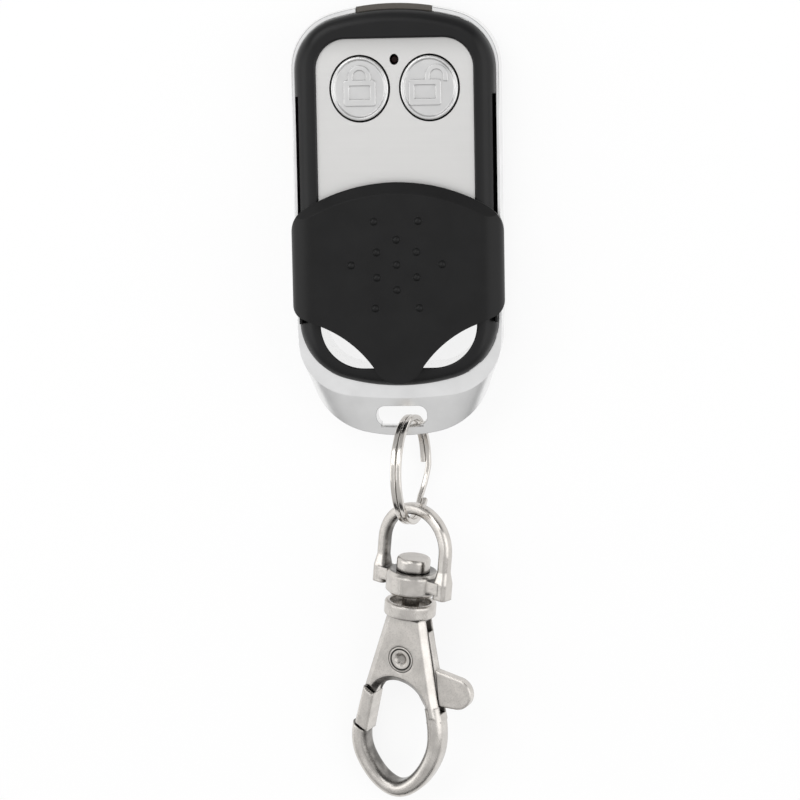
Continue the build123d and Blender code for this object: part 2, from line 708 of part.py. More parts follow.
def make_circuit_board():
    gap = BOARD_EDGE_GAP
    face = plate_face(CAVITY_WIDTH - 2 * gap, CAVITY_TOP_Y - gap, CAVITY_BOTTOM_Y + gap,
                      CAVITY_CORNER_R - gap, PANEL_FOOT_CORNER_R)
    board = prism(face, BOARD_Z, BOARD_TOP_Z)
    for x, y in SCREW_SPOTS:
        board -= pillar(x, y, BOSS_R + BOSS_GAP, PARTING_Z, FRONT_WALL_BACK_Z)
    return board


def make_control_chip():
    """Eight-legged package on the front of the board, below the switches."""
    low = BOARD_TOP_Z + LEAD_THICKNESS / 2
    chip = block(CHIP_X - CHIP_WIDTH / 2, CHIP_X + CHIP_WIDTH / 2,
                 CHIP_Y - CHIP_LENGTH / 2, CHIP_Y + CHIP_LENGTH / 2, low, BOARD_TOP_Z + CHIP_HEIGHT)
    reach = CHIP_WIDTH / 2 + LEAD_REACH
    for i in range(LEAD_COUNT):
        y = CHIP_Y + (i - (LEAD_COUNT - 1) / 2) * LEAD_PITCH
        chip += block(CHIP_X - reach, CHIP_X + reach, y - LEAD_WIDTH / 2, y + LEAD_WIDTH / 2,
                      BOARD_TOP_Z, BOARD_TOP_Z + LEAD_THICKNESS)
    return chip


def make_resonator():
    high = BOARD_TOP_Z + RESONATOR_HEIGHT
    can = pillar(RESONATOR_X, RESONATOR_Y, RESONATOR_R, BOARD_TOP_Z, high)
    rim_r = RESONATOR_R + RESONATOR_RIM
    return can + pillar(RESONATOR_X, RESONATOR_Y, rim_r, BOARD_TOP_Z, BOARD_TOP_Z + RESONATOR_RIM_HEIGHT)


def make_crystal():
    can = prism(Pos(0, CRYSTAL_Y) * Rectangle(CRYSTAL_LENGTH, CRYSTAL_WIDTH),
                BOARD_TOP_Z, BOARD_TOP_Z + CRYSTAL_HEIGHT)
    return fillet(can.edges().filter_by(Axis.Z), CRYSTAL_EDGE_R)


def make_loop_aerial():
    """Copper loop on the board's front, open at its lower end."""
    width = CAVITY_WIDTH - 2 * (BOARD_EDGE_GAP + AERIAL_INSET)
    low_y = AERIAL_TOP_Y - AERIAL_LENGTH
    outer = plate_face(width, AERIAL_TOP_Y, low_y, AERIAL_CORNER_R, AERIAL_WIDTH / 2)
    inner = plate_face(width - 2 * AERIAL_WIDTH, AERIAL_TOP_Y - AERIAL_WIDTH, low_y - OVERRUN,
                       AERIAL_CORNER_R - AERIAL_WIDTH, AERIAL_WIDTH / 2)
    return prism(outer - inner, BOARD_TOP_Z, BOARD_TOP_Z + AERIAL_THICKNESS)


def make_coin_cell():
    """Can with a rounded base edge and a smaller raised cap towards the board."""
    can = pillar(0, CELL_Y, CELL_R, CELL_Z, CELL_TOP_Z - CELL_CAP_STEP)
    can = fillet(edges_at(can, CELL_Z), CELL_EDGE_R)
    return can + pillar(0, CELL_Y, CELL_R - CELL_CAP_INSET, CELL_Z + CELL_CAP_STEP, CELL_TOP_Z)


def make_battery_clip():
    """Spring strap under the cell, turned up to the board at both ends."""
    half = CLIP_WIDTH / 2
    reach = CELL_R + CLIP_GAP + CLIP_THICKNESS
    low = CELL_Z - CLIP_GAP - CLIP_THICKNESS
    strap = block(-half, half, CELL_Y - reach, CELL_Y + reach, low, low + CLIP_THICKNESS)
    for side in (-1, 1):
        near = CELL_Y + side * (reach - CLIP_THICKNESS)
        far = CELL_Y + side * reach
        strap += block(-half, half, min(near, far), max(near, far), low, BOARD_Z)
    return strap


def make_battery_contact():
    disc = pillar(0, CELL_Y, CONTACT_R, BOARD_Z - CLIP_THICKNESS, BOARD_Z)
    return disc + pillar(0, CELL_Y, CONTACT_TIP_R, CELL_TOP_Z + CLIP_GAP, BOARD_Z)


def make_cover_screw(x, y):
    low = SCREW_HEAD_SINK
    high = low + SCREW_HEAD_HEIGHT
    screw = pillar(x, y, SCREW_HEAD_R, low, high) + pillar(x, y, SCREW_R, low, SCREW_END_Z)
    reach, half = SCREW_HEAD_R - SCREW_SLOT, SCREW_SLOT / 2
    for across, along in ((reach, half), (half, reach)):
        screw -= block(x - across, x + across, y - along, y + along, low - OVERRUN, low + SCREW_SLOT_DEPTH)
    return screw


def cover_face():
    """Outline of the cover: arched top, straight sides, drawn in to a round tongue."""
    half = COVER_WIDTH / 2
    top_y = COVER_TOP_Y - sag(COVER_TOP_ARC_R, half)
    right = [
        Line((half, top_y), (half, COVER_SIDE_Y)),
        Line((half, COVER_SIDE_Y), (COVER_WAIST_X, COVER_WAIST_Y)),
        sagged((COVER_WAIST_X, COVER_WAIST_Y), (COVER_TAIL_X, COVER_TAIL_Y), -COVER_TAIL_SAG),
    ]
    left = [
        Line((-half, top_y), (-half, COVER_SIDE_Y)),
        Line((-half, COVER_SIDE_Y), (-COVER_WAIST_X, COVER_WAIST_Y)),
        sagged((-COVER_WAIST_X, COVER_WAIST_Y), (-COVER_TAIL_X, COVER_TAIL_Y), COVER_TAIL_SAG),
    ]
    ends = [
        ThreePointArc((-half, top_y), (0, COVER_TOP_Y), (half, top_y)),
        ThreePointArc((COVER_TAIL_X, COVER_TAIL_Y), (0, COVER_TIP_Y), (-COVER_TAIL_X, COVER_TAIL_Y)),
    ]
    face = make_face(Curve() + right + left + ends)
    face = fillet(at_height(face, top_y), COVER_TOP_CORNER_R)
    return fillet(at_height(face, COVER_SIDE_Y), COVER_SIDE_CORNER_R)


def sagged(start, end, depth):
    """Arc between two points whose middle stands off the chord by depth, to its left."""
    a, b = Vector(*start), Vector(*end)
    way = (b - a).normalized()
    middle = (a + b) * 0.5 + Vector(-way.Y, way.X) * depth
    return ThreePointArc(start, (middle.X, middle.Y), end)


def side_round(side):
    """Cutter that rounds one long side of the cover over from its top to its flank."""
    half = COVER_WIDTH / 2
    corner = block(half - COVER_SIDE_R, half + OVERRUN, COVER_TIP_Y, COVER_TOP_Y,
                   COVER_Z - COVER_SIDE_R, COVER_Z + OVERRUN)
    barrel = Rot(X=90) * Cylinder(COVER_SIDE_R, 2 * CASE_LENGTH)
    cutter = corner - Pos(half - COVER_SIDE_R, 0, COVER_Z - COVER_SIDE_R) * barrel
    return cutter if side > 0 else mirror(cutter, about=Plane.YZ)


def make_slide_cover():
    """Cap over the casing: bevelled top end, rounded sides, sloping tongue, grip domes, runner legs."""
    half = COVER_WIDTH / 2
    shell = prism(cover_face(), COVER_BOTTOM_Z, COVER_Z)
    bevel = loft([
        Pos(0, 0, COVER_Z - COVER_BEVEL_DROP) * top_cutter_face(0.0),
        Pos(0, 0, COVER_Z) * top_cutter_face(COVER_BEVEL),
    ], ruled=True)
    shell -= bevel
    tail = Polygon((COVER_TAIL_BREAK_Y, COVER_Z), (COVER_TIP_Y, COVER_Z - COVER_TAIL_DROP),
                   (COVER_TIP_Y, COVER_Z + OVERRUN), (COVER_TAIL_BREAK_Y, COVER_Z + OVERRUN), align=None)
    shell -= Plane.YZ * Pos(0, 0, -half) * extrude(tail, COVER_WIDTH)
    for side in (-1, 1):
        shell -= side_round(side)
    inner = half - COVER_WALL
    shell -= block(-inner, inner, COVER_TIP_Y - OVERRUN, COVER_TOP_Y + OVERRUN,
                   COVER_BOTTOM_Z - OVERRUN, COVER_UNDER_Z)
    for side in (-1, 1):
        shell += make_leg(side)
    for x, y in dome_spots():
        shell += make_dome(x, y)
    return shell


def top_cutter_face(shift):
    """Everything beyond the cover's arched top, moved down by shift."""
    half = COVER_WIDTH / 2 + OVERRUN
    top = COVER_TOP_Y - shift
    top_y = top - sag(COVER_TOP_ARC_R, half)
    far = COVER_TOP_Y + OVERRUN
    return make_face(Curve() + [
        ThreePointArc((-half, top_y), (0, top), (half, top_y)),
        Line((half, top_y), (half, far)),
        Line((half, far), (-half, far)),
        Line((-half, far), (-half, top_y)),
    ])


def dome_spots():
    """Thirteen grip domes: a diamond of nine and two pairs above and below it."""
    ring = [(0, 0), (0, DOME_STEP_Y), (0, -DOME_STEP_Y)]
    ring += [(sx * DOME_MID_X, sy * DOME_HALF_STEP_Y) for sx in (-1, 1) for sy in (-1, 1)]
    ring += [(sx * DOME_WIDE_X, 0) for sx in (-1, 1)]
    ring += [(sx * DOME_X, sy * DOME_OUTER_Y) for sx in (-1, 1) for sy in (-1, 1)]
    return [(x, DOME_Y + y) for x, y in ring]


def make_dome(x, y):
    """Cap of a sphere that stands DOME_HEIGHT over the cover and sinks into it."""
    radius = (DOME_R ** 2 + DOME_HEIGHT ** 2) / (2 * DOME_HEIGHT)
    ball = Pos(x, y, COVER_Z + DOME_HEIGHT - radius) * Sphere(radius)
    return ball & block(x - DOME_R, x + DOME_R, y - DOME_R, y + DOME_R,
                        COVER_Z - DOME_HEIGHT, COVER_Z + DOME_HEIGHT)


def make_leg(side):
    """Thin runner under one side of the cover, with an inward foot that keeps it in its groove."""
    x0 = leg_inner_x()
    x1 = x0 + LEG_THICKNESS
    low_y = LEG_TOP_Y - LEG_LENGTH
    leg = block(x0, x1, low_y, LEG_TOP_Y, LEG_Z, COVER_UNDER_Z)
    leg += block(x0 - LEG_FOOT, x1, low_y, LEG_TOP_Y, LEG_Z, LEG_Z + LEG_FOOT_HEIGHT)
    return leg if side > 0 else mirror(leg, about=Plane.YZ)


def ring_plane():
    """Centre plane of the split ring: x along its normal, y towards the slot, z up."""
    rise, reach = RING_RISE, RING_REACH
    centre = Vector(RING_X, BAR_Y - math.sqrt(reach ** 2 - rise ** 2), SLOT_BAR_Z + rise)
    yaw = math.radians(RING_YAW)
    normal = Vector(math.cos(yaw), 0, math.sin(yaw))
    return Plane(origin=centre, x_dir=(0, 1, 0), z_dir=normal)


def ring_section(angle, offset):
    """Wire section at an angle round the ring, offset along its normal."""
    mid = RING_R - RING_WIRE_DEPTH / 2
    place = Rot(Z=angle) * Pos(mid, 0, offset) * Rot(X=90)
    return place * RectangleRounded(RING_WIRE_DEPTH, RING_WIRE_WIDTH, RING_EDGE_R)


def ring_coil(start, end, offset):
    """One flat coil from the start angle to the end angle, in degrees."""
    return revolve(ring_section(start, offset), axis=Axis.Z, revolution_arc=end - start)


def make_split_ring():
    """Two coils side by side, joined where the wire crosses from one to the other."""
    offset = (RING_WIRE_WIDTH + RING_COIL_GAP) / 2
    before = RING_SPLIT_DEG - RING_CROSS_DEG / 2
    after = RING_SPLIT_DEG + RING_CROSS_DEG / 2
    first = ring_coil(after + RING_END_GAP_DEG, before + 360, -offset)
    second = ring_coil(after, before + 360 - RING_END_GAP_DEG, offset)
    bridge = loft([
        ring_section(before, -offset), ring_section(RING_SPLIT_DEG, 0), ring_section(after, offset),
    ])
    return ring_plane() * (first + bridge + second)


def axis_frame():
    """The swivel axis as a unit vector, and the level direction square to it."""
    lean, tilt = math.radians(AXIS_LEAN), math.radians(AXIS_TILT)
    way = Vector(math.sin(lean) * math.cos(tilt), math.cos(lean) * math.cos(tilt), math.sin(tilt))
    return way, Vector(math.cos(lean), -math.sin(lean), 0)


def hook_plane(yaw):
    """Frame of the hook: y up the swivel axis, origin in the collar's top, turned by yaw about y."""
    way, level = axis_frame()
    up = level.cross(way)
    turn = math.radians(yaw)
    ring = ring_plane().origin
    inner_y = ring.Y - RING_R + RING_WIRE_DEPTH
    arch = Vector(ARCH_TOP_X, inner_y + ARCH_TOP_GAP + BAIL_WIRE / 2, ring.Z)
    origin = arch - way * (BAIL_ARCH_Y + BAIL_HALF)
    x_dir = level * math.cos(turn) + up * math.sin(turn)
    z_dir = up * math.cos(turn) - level * math.sin(turn)
    return Plane(origin=origin, x_dir=x_dir, z_dir=z_dir)


def rod(radius, low, high):
    """Cylinder along the hook frame's y axis."""
    return Pos(0, (low + high) / 2, 0) * Rot(X=90) * Cylinder(radius, high - low)


def across(face, y):
    """The face laid square to the hook frame's y axis at height y, its normal up the axis."""
    return Plane(origin=(0, y, 0), x_dir=(1, 0, 0), z_dir=(0, 1, 0)) * face


def make_swivel_bail():
    """Arched wire with broad feet, joined by a strap whose bored boss turns on the swivel post."""
    wire_face = RectangleRounded(BAIL_WIRE, BAIL_WIRE_DEPTH, BAIL_EDGE_R)
    left, right = (-BAIL_HALF, BAIL_ARCH_Y), (BAIL_HALF, BAIL_ARCH_Y)
    path = Line((-BAIL_HALF, SHOE_NECK_Y), left)
    path += ThreePointArc(left, (0, BAIL_ARCH_Y + BAIL_HALF), right)
    path += Line(right, (BAIL_HALF, SHOE_NECK_Y))
    bail = sweep(Pos(-BAIL_HALF, 0, 0) * across(wire_face, SHOE_NECK_Y), path=path)
    shoe_face = RectangleRounded(SHOE_WIDTH, SHOE_DEPTH, SHOE_EDGE_R)
    shoe = extrude(across(shoe_face, SHOE_LOW_Y), SHOE_HIGH_Y - SHOE_LOW_Y)
    shoe += loft([across(shoe_face, SHOE_HIGH_Y), across(wire_face, SHOE_NECK_Y)])
    for side in (-1, 1):
        bail += Pos(side * BAIL_HALF, 0, 0) * shoe
    bail += extrude(across(Rectangle(2 * BAIL_HALF, STRAP_DEPTH), STRAP_LOW_Y), STRAP_HIGH_Y - STRAP_LOW_Y)
    boss = rod(BOSS_OUTER_R, BOSS_LOW_Y, BOSS_HIGH_Y)
    bail += chamfer(boss.edges().filter_by(GeomType.CIRCLE), BOSS_EDGE)
    bail -= rod(POST_SHANK_R + POST_RUN_GAP, BOSS_LOW_Y - OVERRUN, BOSS_HIGH_Y + OVERRUN)
    return hook_plane(BAIL_YAW) * bail


def make_swivel_post():
    """Headed post: it holds the bail's bar above the collar."""
    head = rod(POST_HEAD_R, POST_HEAD_LOW_Y, POST_HEAD_HIGH_Y)
    top = head.edges().sort_by(Axis.Y)[-1]
    head = fillet(top, POST_HEAD_EDGE_R)
    post = head + rod(POST_SHANK_R, POST_FOOT_Y, POST_HEAD_LOW_Y + POST_HEAD_EDGE_R)
    return hook_plane(HOOK_YAW) * post


def shares(points):
    return [(x * HOOK_HALF, y * HOOK_LENGTH) for x, y in points]


def hook_face():
    """Front view of the cheeks: tapered from the collar, arched over the bow's opening."""
    neck_y = NECK_SINK - COLLAR_HEIGHT
    fork, crown, cheek = (FORK_IN_X, FORK_IN_Y), (ARCH_CROWN_X, ARCH_CROWN_Y), (CHEEK_IN_X, CHEEK_IN_Y)
    neck = (-NECK_HALF, neck_y)
    return make_face(Curve() + [
        Polyline(neck, (NECK_HALF, neck_y), (SHOULDER_X, SHOULDER_Y), (FORK_OUT_X, FORK_OUT_Y), fork),
        TangentArc(crown, fork, tangent=(1, 0)),
        TangentArc(crown, cheek, tangent=(-1, 0)),
        Polyline(cheek, (CHEEK_OUT_X, CHEEK_OUT_Y), neck),
    ])


def make_bow():
    """Rounded bar bent along the bow's centre line and cut to the gate's swing at the nose."""
    points = shares(BOW_SHARES)
    path = Spline(*points)
    start = Plane(origin=path @ 0, x_dir=(0, 0, 1), z_dir=path % 0)
    bow = sweep(start * RectangleRounded(BOW_DEPTH, BOW_WIDTH, BOW_EDGE_R), path=path)
    swing = pillar(0, RIVET_Y, GATE_REACH + GATE_GAP, -BOW_DEPTH, BOW_DEPTH)
    reach = HOOK_LENGTH
    return bow - (swing & block(-reach, 0, -reach, 0, -BOW_DEPTH, BOW_DEPTH))


def make_hook_body():
    """Cast body: collar with its cup, two cheeks round the lever slot, and the bow."""
    half = HOOK_THICKNESS / 2
    body = Pos(0, 0, -half) * extrude(hook_face(), HOOK_THICKNESS)
    rims = edges_at(body, half) + edges_at(body, -half)
    body = chamfer(rims, HOOK_EDGE) + make_bow()
    collar = rod(COLLAR_R, -COLLAR_HEIGHT, 0)
    collar = fillet(collar.edges().filter_by(GeomType.CIRCLE), COLLAR_EDGE_R)
    body += collar
    body -= rod(COLLAR_CUP_R, -COLLAR_CUP_DEPTH, OVERRUN)
    body -= rod(POST_SHANK_R + POST_SEAT_GAP, POST_FOOT_Y - POST_SEAT_GAP, OVERRUN)
    wide = HOOK_HALF + OVERRUN
    body -= block(-wide, wide, LEVER_SLOT_LOW_Y, LEVER_SLOT_HIGH_Y, -LEVER_SLOT / 2, LEVER_SLOT / 2)
    body -= pillar(0, RIVET_Y, RIVET_R + POST_SEAT_GAP, -half - OVERRUN, half + OVERRUN)
    well = RIVET_HEAD_R + RIVET_HEAD_GAP
    for side in (-1, 1):
        near, far = side * (half - RIVET_HEAD_DEPTH), side * (half + OVERRUN)
        body -= pillar(0, RIVET_Y, well, min(near, far), max(near, far))
    return hook_plane(HOOK_YAW) * body


def make_lever_rivet():
    """Pin through both cheeks with flush heads, dished at the front."""
    half = HOOK_THICKNESS / 2
    pin = pillar(0, RIVET_Y, RIVET_R, -half, half)
    for side in (-1, 1):
        near, far = side * (half - RIVET_HEAD_DEPTH), side * half
        pin += pillar(0, RIVET_Y, RIVET_HEAD_R, min(near, far), max(near, far))
    dish = Cone(RIVET_DISH_R / 2, RIVET_DISH_R, RIVET_DISH_DEPTH)
    pin -= Pos(0, RIVET_Y, half - RIVET_DISH_DEPTH / 2) * dish
    return hook_plane(HOOK_YAW) * pin


def lever_face():
    """Plate of the lever: from its upper arm round the thumb tab and back along the gate's root."""
    right, low, gate = (shares(s) for s in (LEVER_RIGHT_SHARES, LEVER_LOW_SHARES, LEVER_GATE_SHARES))
    return make_face(Polyline(*(right + low + gate), close=True))


def tab_face():
    """Thumb tab: a round end joined to the plate by its two straight edges."""
    right, low = shares(LEVER_RIGHT_SHARES), shares(LEVER_LOW_SHARES)
    return make_hull([Line(right[-1], low[0]), CenterArc((TAB_X, TAB_Y), TAB_R, 0, 360)])


def gate_face():
    """The gate closes the bow from the cheeks' end down to the nose."""
    out, inner = Vector(CHEEK_OUT_X, CHEEK_OUT_Y), Vector(CHEEK_IN_X, CHEEK_IN_Y)
    low = (Vector(GATE_IN_X, GATE_LOW_Y), Vector(GATE_OUT_X, GATE_LOW_Y))
    end = (inner - out).normalized()
    away = Vector(end.Y, -end.X) * GATE_GAP
    corners = [out + away, inner + away, *low]
    face = make_face(Polyline(*[(v.X, v.Y) for v in corners], close=True))
    return face & (Pos(0, RIVET_Y) * Circle(GATE_REACH))


def make_trigger_lever():
    """Gate, hub and thumb tab in one casting that rocks on the rivet."""
    half = LEVER_THICKNESS / 2
    plate = Pos(0, 0, -half) * extrude(lever_face(), LEVER_THICKNESS)
    tab = Pos(0, 0, -half) * extrude(tab_face(), LEVER_THICKNESS)
    tab = fillet(tab.edges().filter_by(Axis.Z, reverse=True), TAB_EDGE_R)
    gate = Pos(0, 0, -GATE_THICKNESS / 2) * extrude(gate_face(), GATE_THICKNESS)
    gate = chamfer(gate.edges().filter_by(Axis.Z, reverse=True), GATE_EDGE)
    lever = plate + tab + gate
    lever -= pillar(0, RIVET_Y, RIVET_R + RIVET_RUN_GAP, -GATE_THICKNESS, GATE_THICKNESS)
    lever -= pillar(0, RIVET_Y, LEVER_POCKET_R, -half - OVERRUN, LEVER_POCKET_DEPTH - half)
    return hook_plane(HOOK_YAW) * lever


def make_lever_spring():
    """Small torsion coil in the lever's pocket, wound round the rivet."""
    low = SPRING_WIRE_R - LEVER_THICKNESS / 2
    path = Helix(SPRING_PITCH, SPRING_PITCH * SPRING_TURNS, SPRING_R)
    section = Plane(origin=path @ 0, z_dir=path % 0) * Circle(SPRING_WIRE_R)
    return hook_plane(HOOK_YAW) * Pos(0, RIVET_Y, low) * sweep(section, path=path)


def build():
    """Every node by name."""
    left, right = button_spots()
    nodes = {
        "chrome_frame": make_chrome_frame(),
        "top_insert": make_top_insert(),
        "front_housing": make_front_housing(),
        "rear_housing": make_rear_housing(),
        "face_panel": make_face_panel(),
        "status_lamp": make_status_lamp(),
        "circuit_board": make_circuit_board(),
        "control_chip": make_control_chip(),
        "rf_resonator": make_resonator(),
        "crystal": make_crystal(),
        "loop_aerial": make_loop_aerial(),
        "coin_cell": make_coin_cell(),
        "battery_clip": make_battery_clip(),
        "battery_contact": make_battery_contact(),
        "cover_screws": Compound([make_cover_screw(x, y) for x, y in SCREW_SPOTS]),
        "slide_cover": make_slide_cover(),
        "split_ring": make_split_ring(),
        "swivel_bail": make_swivel_bail(),
        "swivel_post": make_swivel_post(),
        "hook_body": make_hook_body(),
        "lever_rivet": make_lever_rivet(),
        "trigger_lever": make_trigger_lever(),
        "lever_spring": make_lever_spring(),
    }
    for name, spot, is_open in (("lock", left, False), ("unlock", right, True)):
        nodes[name + "_button"] = make_button(spot, is_open)
        nodes[name + "_pad"] = make_pad(spot)
        nodes[name + "_plunger"] = make_plunger(spot)
        nodes[name + "_switch"] = make_switch(spot)
    return nodes


os.makedirs("parts", exist_ok=True)
for name, part in build().items():
    export_step(part, os.path.join("parts", name + ".step"))
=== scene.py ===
import json
import math

import bpy
import numpy as np
from mathutils import Matrix, Vector


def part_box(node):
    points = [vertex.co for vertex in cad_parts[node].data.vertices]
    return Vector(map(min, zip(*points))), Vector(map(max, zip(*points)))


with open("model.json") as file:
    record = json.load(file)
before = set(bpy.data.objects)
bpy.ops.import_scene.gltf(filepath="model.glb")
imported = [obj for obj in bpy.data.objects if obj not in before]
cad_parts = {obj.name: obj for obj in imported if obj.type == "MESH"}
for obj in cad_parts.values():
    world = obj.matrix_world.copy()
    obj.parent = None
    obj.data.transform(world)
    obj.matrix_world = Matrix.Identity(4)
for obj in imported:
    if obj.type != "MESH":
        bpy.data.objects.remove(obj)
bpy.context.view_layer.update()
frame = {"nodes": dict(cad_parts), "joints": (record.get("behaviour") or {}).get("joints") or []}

bl_info = {
    "name": "Alarm Key Fob Dresser",
    "version": (1, 0, 0),
    "blender": (4, 5, 0),
    "location": "3D View > Sidebar > Key Fob",
    "description": "Gives a slide-cover key fob its finishes, studio and camera",
    "category": "Object",
}

MM = 0.001

# Places on the fob that the finishes follow

CROWN_START = 10.9 * MM
CROWN_CURVE = 110.0
# Places along y past which the hoop's creases get painted shade
SHADED_CREASE_Y = (-25.5 * MM, 15.0 * MM)
# Middle of the hook's opening, whose inner side gets painted dark reflection
HOOK_MIDDLE = (-1.0 * MM, -73.8 * MM, 4.5 * MM)
WINDOW_WALL = (-11.2 * MM, 11.2 * MM, -20.8 * MM, -8.2 * MM)
WALL_SOFTNESS = 0.01 * MM
# How far the painted shade at the panel's top end reaches
SHADED_END_LENGTH = 3.6 * MM
# Rings round the rivet's pin: its dish and its groove get painted shade
RIVET_DISH = (0.6 * MM, 0.9 * MM)
RIVET_GROOVE = (1.42 * MM, 1.6 * MM)
GROOVE_SOFTNESS = 0.07 * MM

# How far wear reaches over edges, and painted shade out of corners

PLATING_WEAR = 0.2 * MM
CASTING_WEAR = 0.22 * MM
PLASTIC_WEAR = 0.25 * MM
COVER_WEAR = 0.3 * MM
PLATING_SHADE_REACH = 0.6 * MM
CASTING_SHADE_REACH = 1.3 * MM
COVER_SHADE_REACH = 0.9 * MM

# Grain

HAIRLINE_WIDTH = 0.25 * MM
HAIRLINE_STRETCH = (0.4, 9.0, 1.0)
HAIRLINE_TURN = (0.3, 0.2, 0.6)
TURNING_PITCH = 0.12 * MM
CONTACT_BRUSH = 0.1 * MM
MOULD_GRAIN = 0.1 * MM

# Colours of the small and hidden pieces

INSERT_STEEL = (0.125, 0.115, 0.104)
PLATED_WALL = (0.97, 0.97, 0.965)
SCREW_ZINC = (0.32, 0.32, 0.33)
SPRING_STEEL = (0.42, 0.42, 0.42)
CELL_STEEL = (0.55, 0.55, 0.54)
CAN_STEEL = (0.58, 0.58, 0.55)
SWITCH_STEEL = (0.5, 0.5, 0.5)
CONTACT_PLATE = (0.6, 0.57, 0.5)
AERIAL_COPPER = (0.65, 0.33, 0.18)
PACKAGE_BLACK = (0.02, 0.02, 0.02)
PAD_BLACK = (0.015, 0.015, 0.015)

# Studio, in metres; a lamp's share is of its group's power

FLOOR_SPAN = 3.0
FLOOR_DROP = 0.04 * MM
FLOOR_GLOW = 0.85
MIRRORED_FLOOR = 0.97
LIT_MIDDLE = (0.0, -25.0 * MM, 5.0 * MM)
KEY_PLACE = (-0.20, 0.34, 0.50)
KEY_SIZE = (0.36, 0.36)
SIDE_LAMPS = (
    ("fill_right", (0.42, -0.02, 0.28), (0.5, 0.6), 1.1),
    ("fill_left", (-0.46, -0.02, 0.24), (0.3, 0.5), 0.7),
)
CARD_LEVEL = 0.03
CARDS = (
    ("card_front", (0.0, -0.32, 0.06), (-1, 0, 0), (0, 0, 1), 0.4, 0.1),
    ("card_back", (0.12, 0.25, 0.27), (1, 0, 0), (0, -0.7, 0.7), 0.4, 0.13),
)
ROOM_FOOT = (0.5, 0.5, 0.5, 1)
ROOM_TOP = (0.75, 0.75, 0.755, 1)
ROOM_LEVELS = ((0.25, 0.5), (0.55, 0.62), (0.85, 0.73))
SENSOR_WIDTH = 36.0
CLIP_RANGE = (0.01, 20.0)


# Settings that a user would change


class FobMetals(bpy.types.PropertyGroup):
    """Colours and roughness of the fob's metal parts."""

    chrome: bpy.props.FloatVectorProperty(
        name="Chrome", description="Colour of the cast hoop", subtype="COLOR", size=3,
        min=0.0, max=1.0, default=(0.9, 0.9, 0.898))
    chrome_roughness: bpy.props.FloatProperty(
        name="Chrome Roughness", description="Mean roughness of the cast hoop",
        subtype="FACTOR", min=0.02, max=1.0, default=0.3)
    nickel: bpy.props.FloatVectorProperty(
        name="Nickel", description="Colour of the hook and bail", subtype="COLOR", size=3,
        min=0.0, max=1.0, default=(0.66, 0.63, 0.595))
    nickel_roughness: bpy.props.FloatProperty(
        name="Nickel Roughness", description="Mean roughness of the hook and bail",
        subtype="FACTOR", min=0.02, max=1.0, default=0.24)
    aluminium: bpy.props.FloatVectorProperty(
        name="Aluminium", description="Colour of the face panel", subtype="COLOR", size=3,
        min=0.0, max=1.0, default=(0.72, 0.715, 0.705))
    button: bpy.props.FloatVectorProperty(
        name="Buttons", description="Colour of the two button caps", subtype="COLOR", size=3,
        min=0.0, max=1.0, default=(0.745, 0.743, 0.738))
    grain_pitch: bpy.props.FloatProperty(
        name="Brush Pitch", description="Spacing of the brushed lines on the panel",
        subtype="DISTANCE", min=0.00002, max=0.002, default=0.00012)


class FobPlastics(bpy.types.PropertyGroup):
    """Colours and roughness of the moulded parts."""

    gloss_black: bpy.props.FloatVectorProperty(
        name="Bezel Black", description="Colour of the bezel round the panel", subtype="COLOR",
        size=3, min=0.0, max=1.0, default=(0.0045, 0.0045, 0.0049))
    bezel_roughness: bpy.props.FloatProperty(
        name="Bezel Roughness", description="Mean roughness of the bezel",
        subtype="FACTOR", min=0.02, max=1.0, default=0.4)
    soft_black: bpy.props.FloatVectorProperty(
        name="Cover Black", description="Colour of the soft-touch slide cover", subtype="COLOR",
        size=3, min=0.0, max=1.0, default=(0.0068, 0.0068, 0.007))
    cover_roughness: bpy.props.FloatProperty(
        name="Cover Roughness", description="Mean roughness of the slide cover",
        subtype="FACTOR", min=0.02, max=1.0, default=0.44)
    lamp: bpy.props.FloatVectorProperty(
        name="Lamp", description="Colour of the unlit lamp", subtype="COLOR", size=3,
        min=0.0, max=1.0, default=(0.012, 0.004, 0.004))
    board: bpy.props.FloatVectorProperty(
        name="Board", description="Colour of the board's lacquer", subtype="COLOR", size=3,
        min=0.0, max=1.0, default=(0.012, 0.10, 0.04))


class FobStudio(bpy.types.PropertyGroup):
    """Camera and light of the studio."""

    turn: bpy.props.FloatProperty(
        name="Turn", description="Camera's turn to the right of straight above",
        subtype="ANGLE", default=math.radians(4.18))
    tip: bpy.props.FloatProperty(
        name="Tip", description="Camera's tip towards the casing's closed end",
        subtype="ANGLE", default=math.radians(7.27))
    roll: bpy.props.FloatProperty(
        name="Roll", description="Camera's roll", subtype="ANGLE", default=math.radians(-1.07))
    distance: bpy.props.FloatProperty(
        name="Distance", description="Camera's distance from what it looks at",
        subtype="DISTANCE", unit="LENGTH", min=0.05, default=0.359)
    target: bpy.props.FloatVectorProperty(
        name="Target", description="Point that the camera looks at", subtype="TRANSLATION",
        unit="LENGTH", size=3, default=(-0.0004, -0.02536, 0.005))
    lens: bpy.props.FloatProperty(
        name="Lens", description="Focal length on a 36 mm sensor", min=10.0, default=114.27)
    key_power: bpy.props.FloatProperty(
        name="Key Power", description="Power of the large upper lamp", subtype="POWER",
        min=0.0, default=0.97)
    fill_power: bpy.props.FloatProperty(
        name="Fill Power", description="Power of the side lamps", subtype="POWER",
        min=0.0, default=0.9)
    floor: bpy.props.FloatVectorProperty(
        name="Floor", description="Colour of the pale floor", subtype="COLOR", size=3,
        min=0.0, max=1.0, default=(0.93, 0.93, 0.93))


# Node helpers


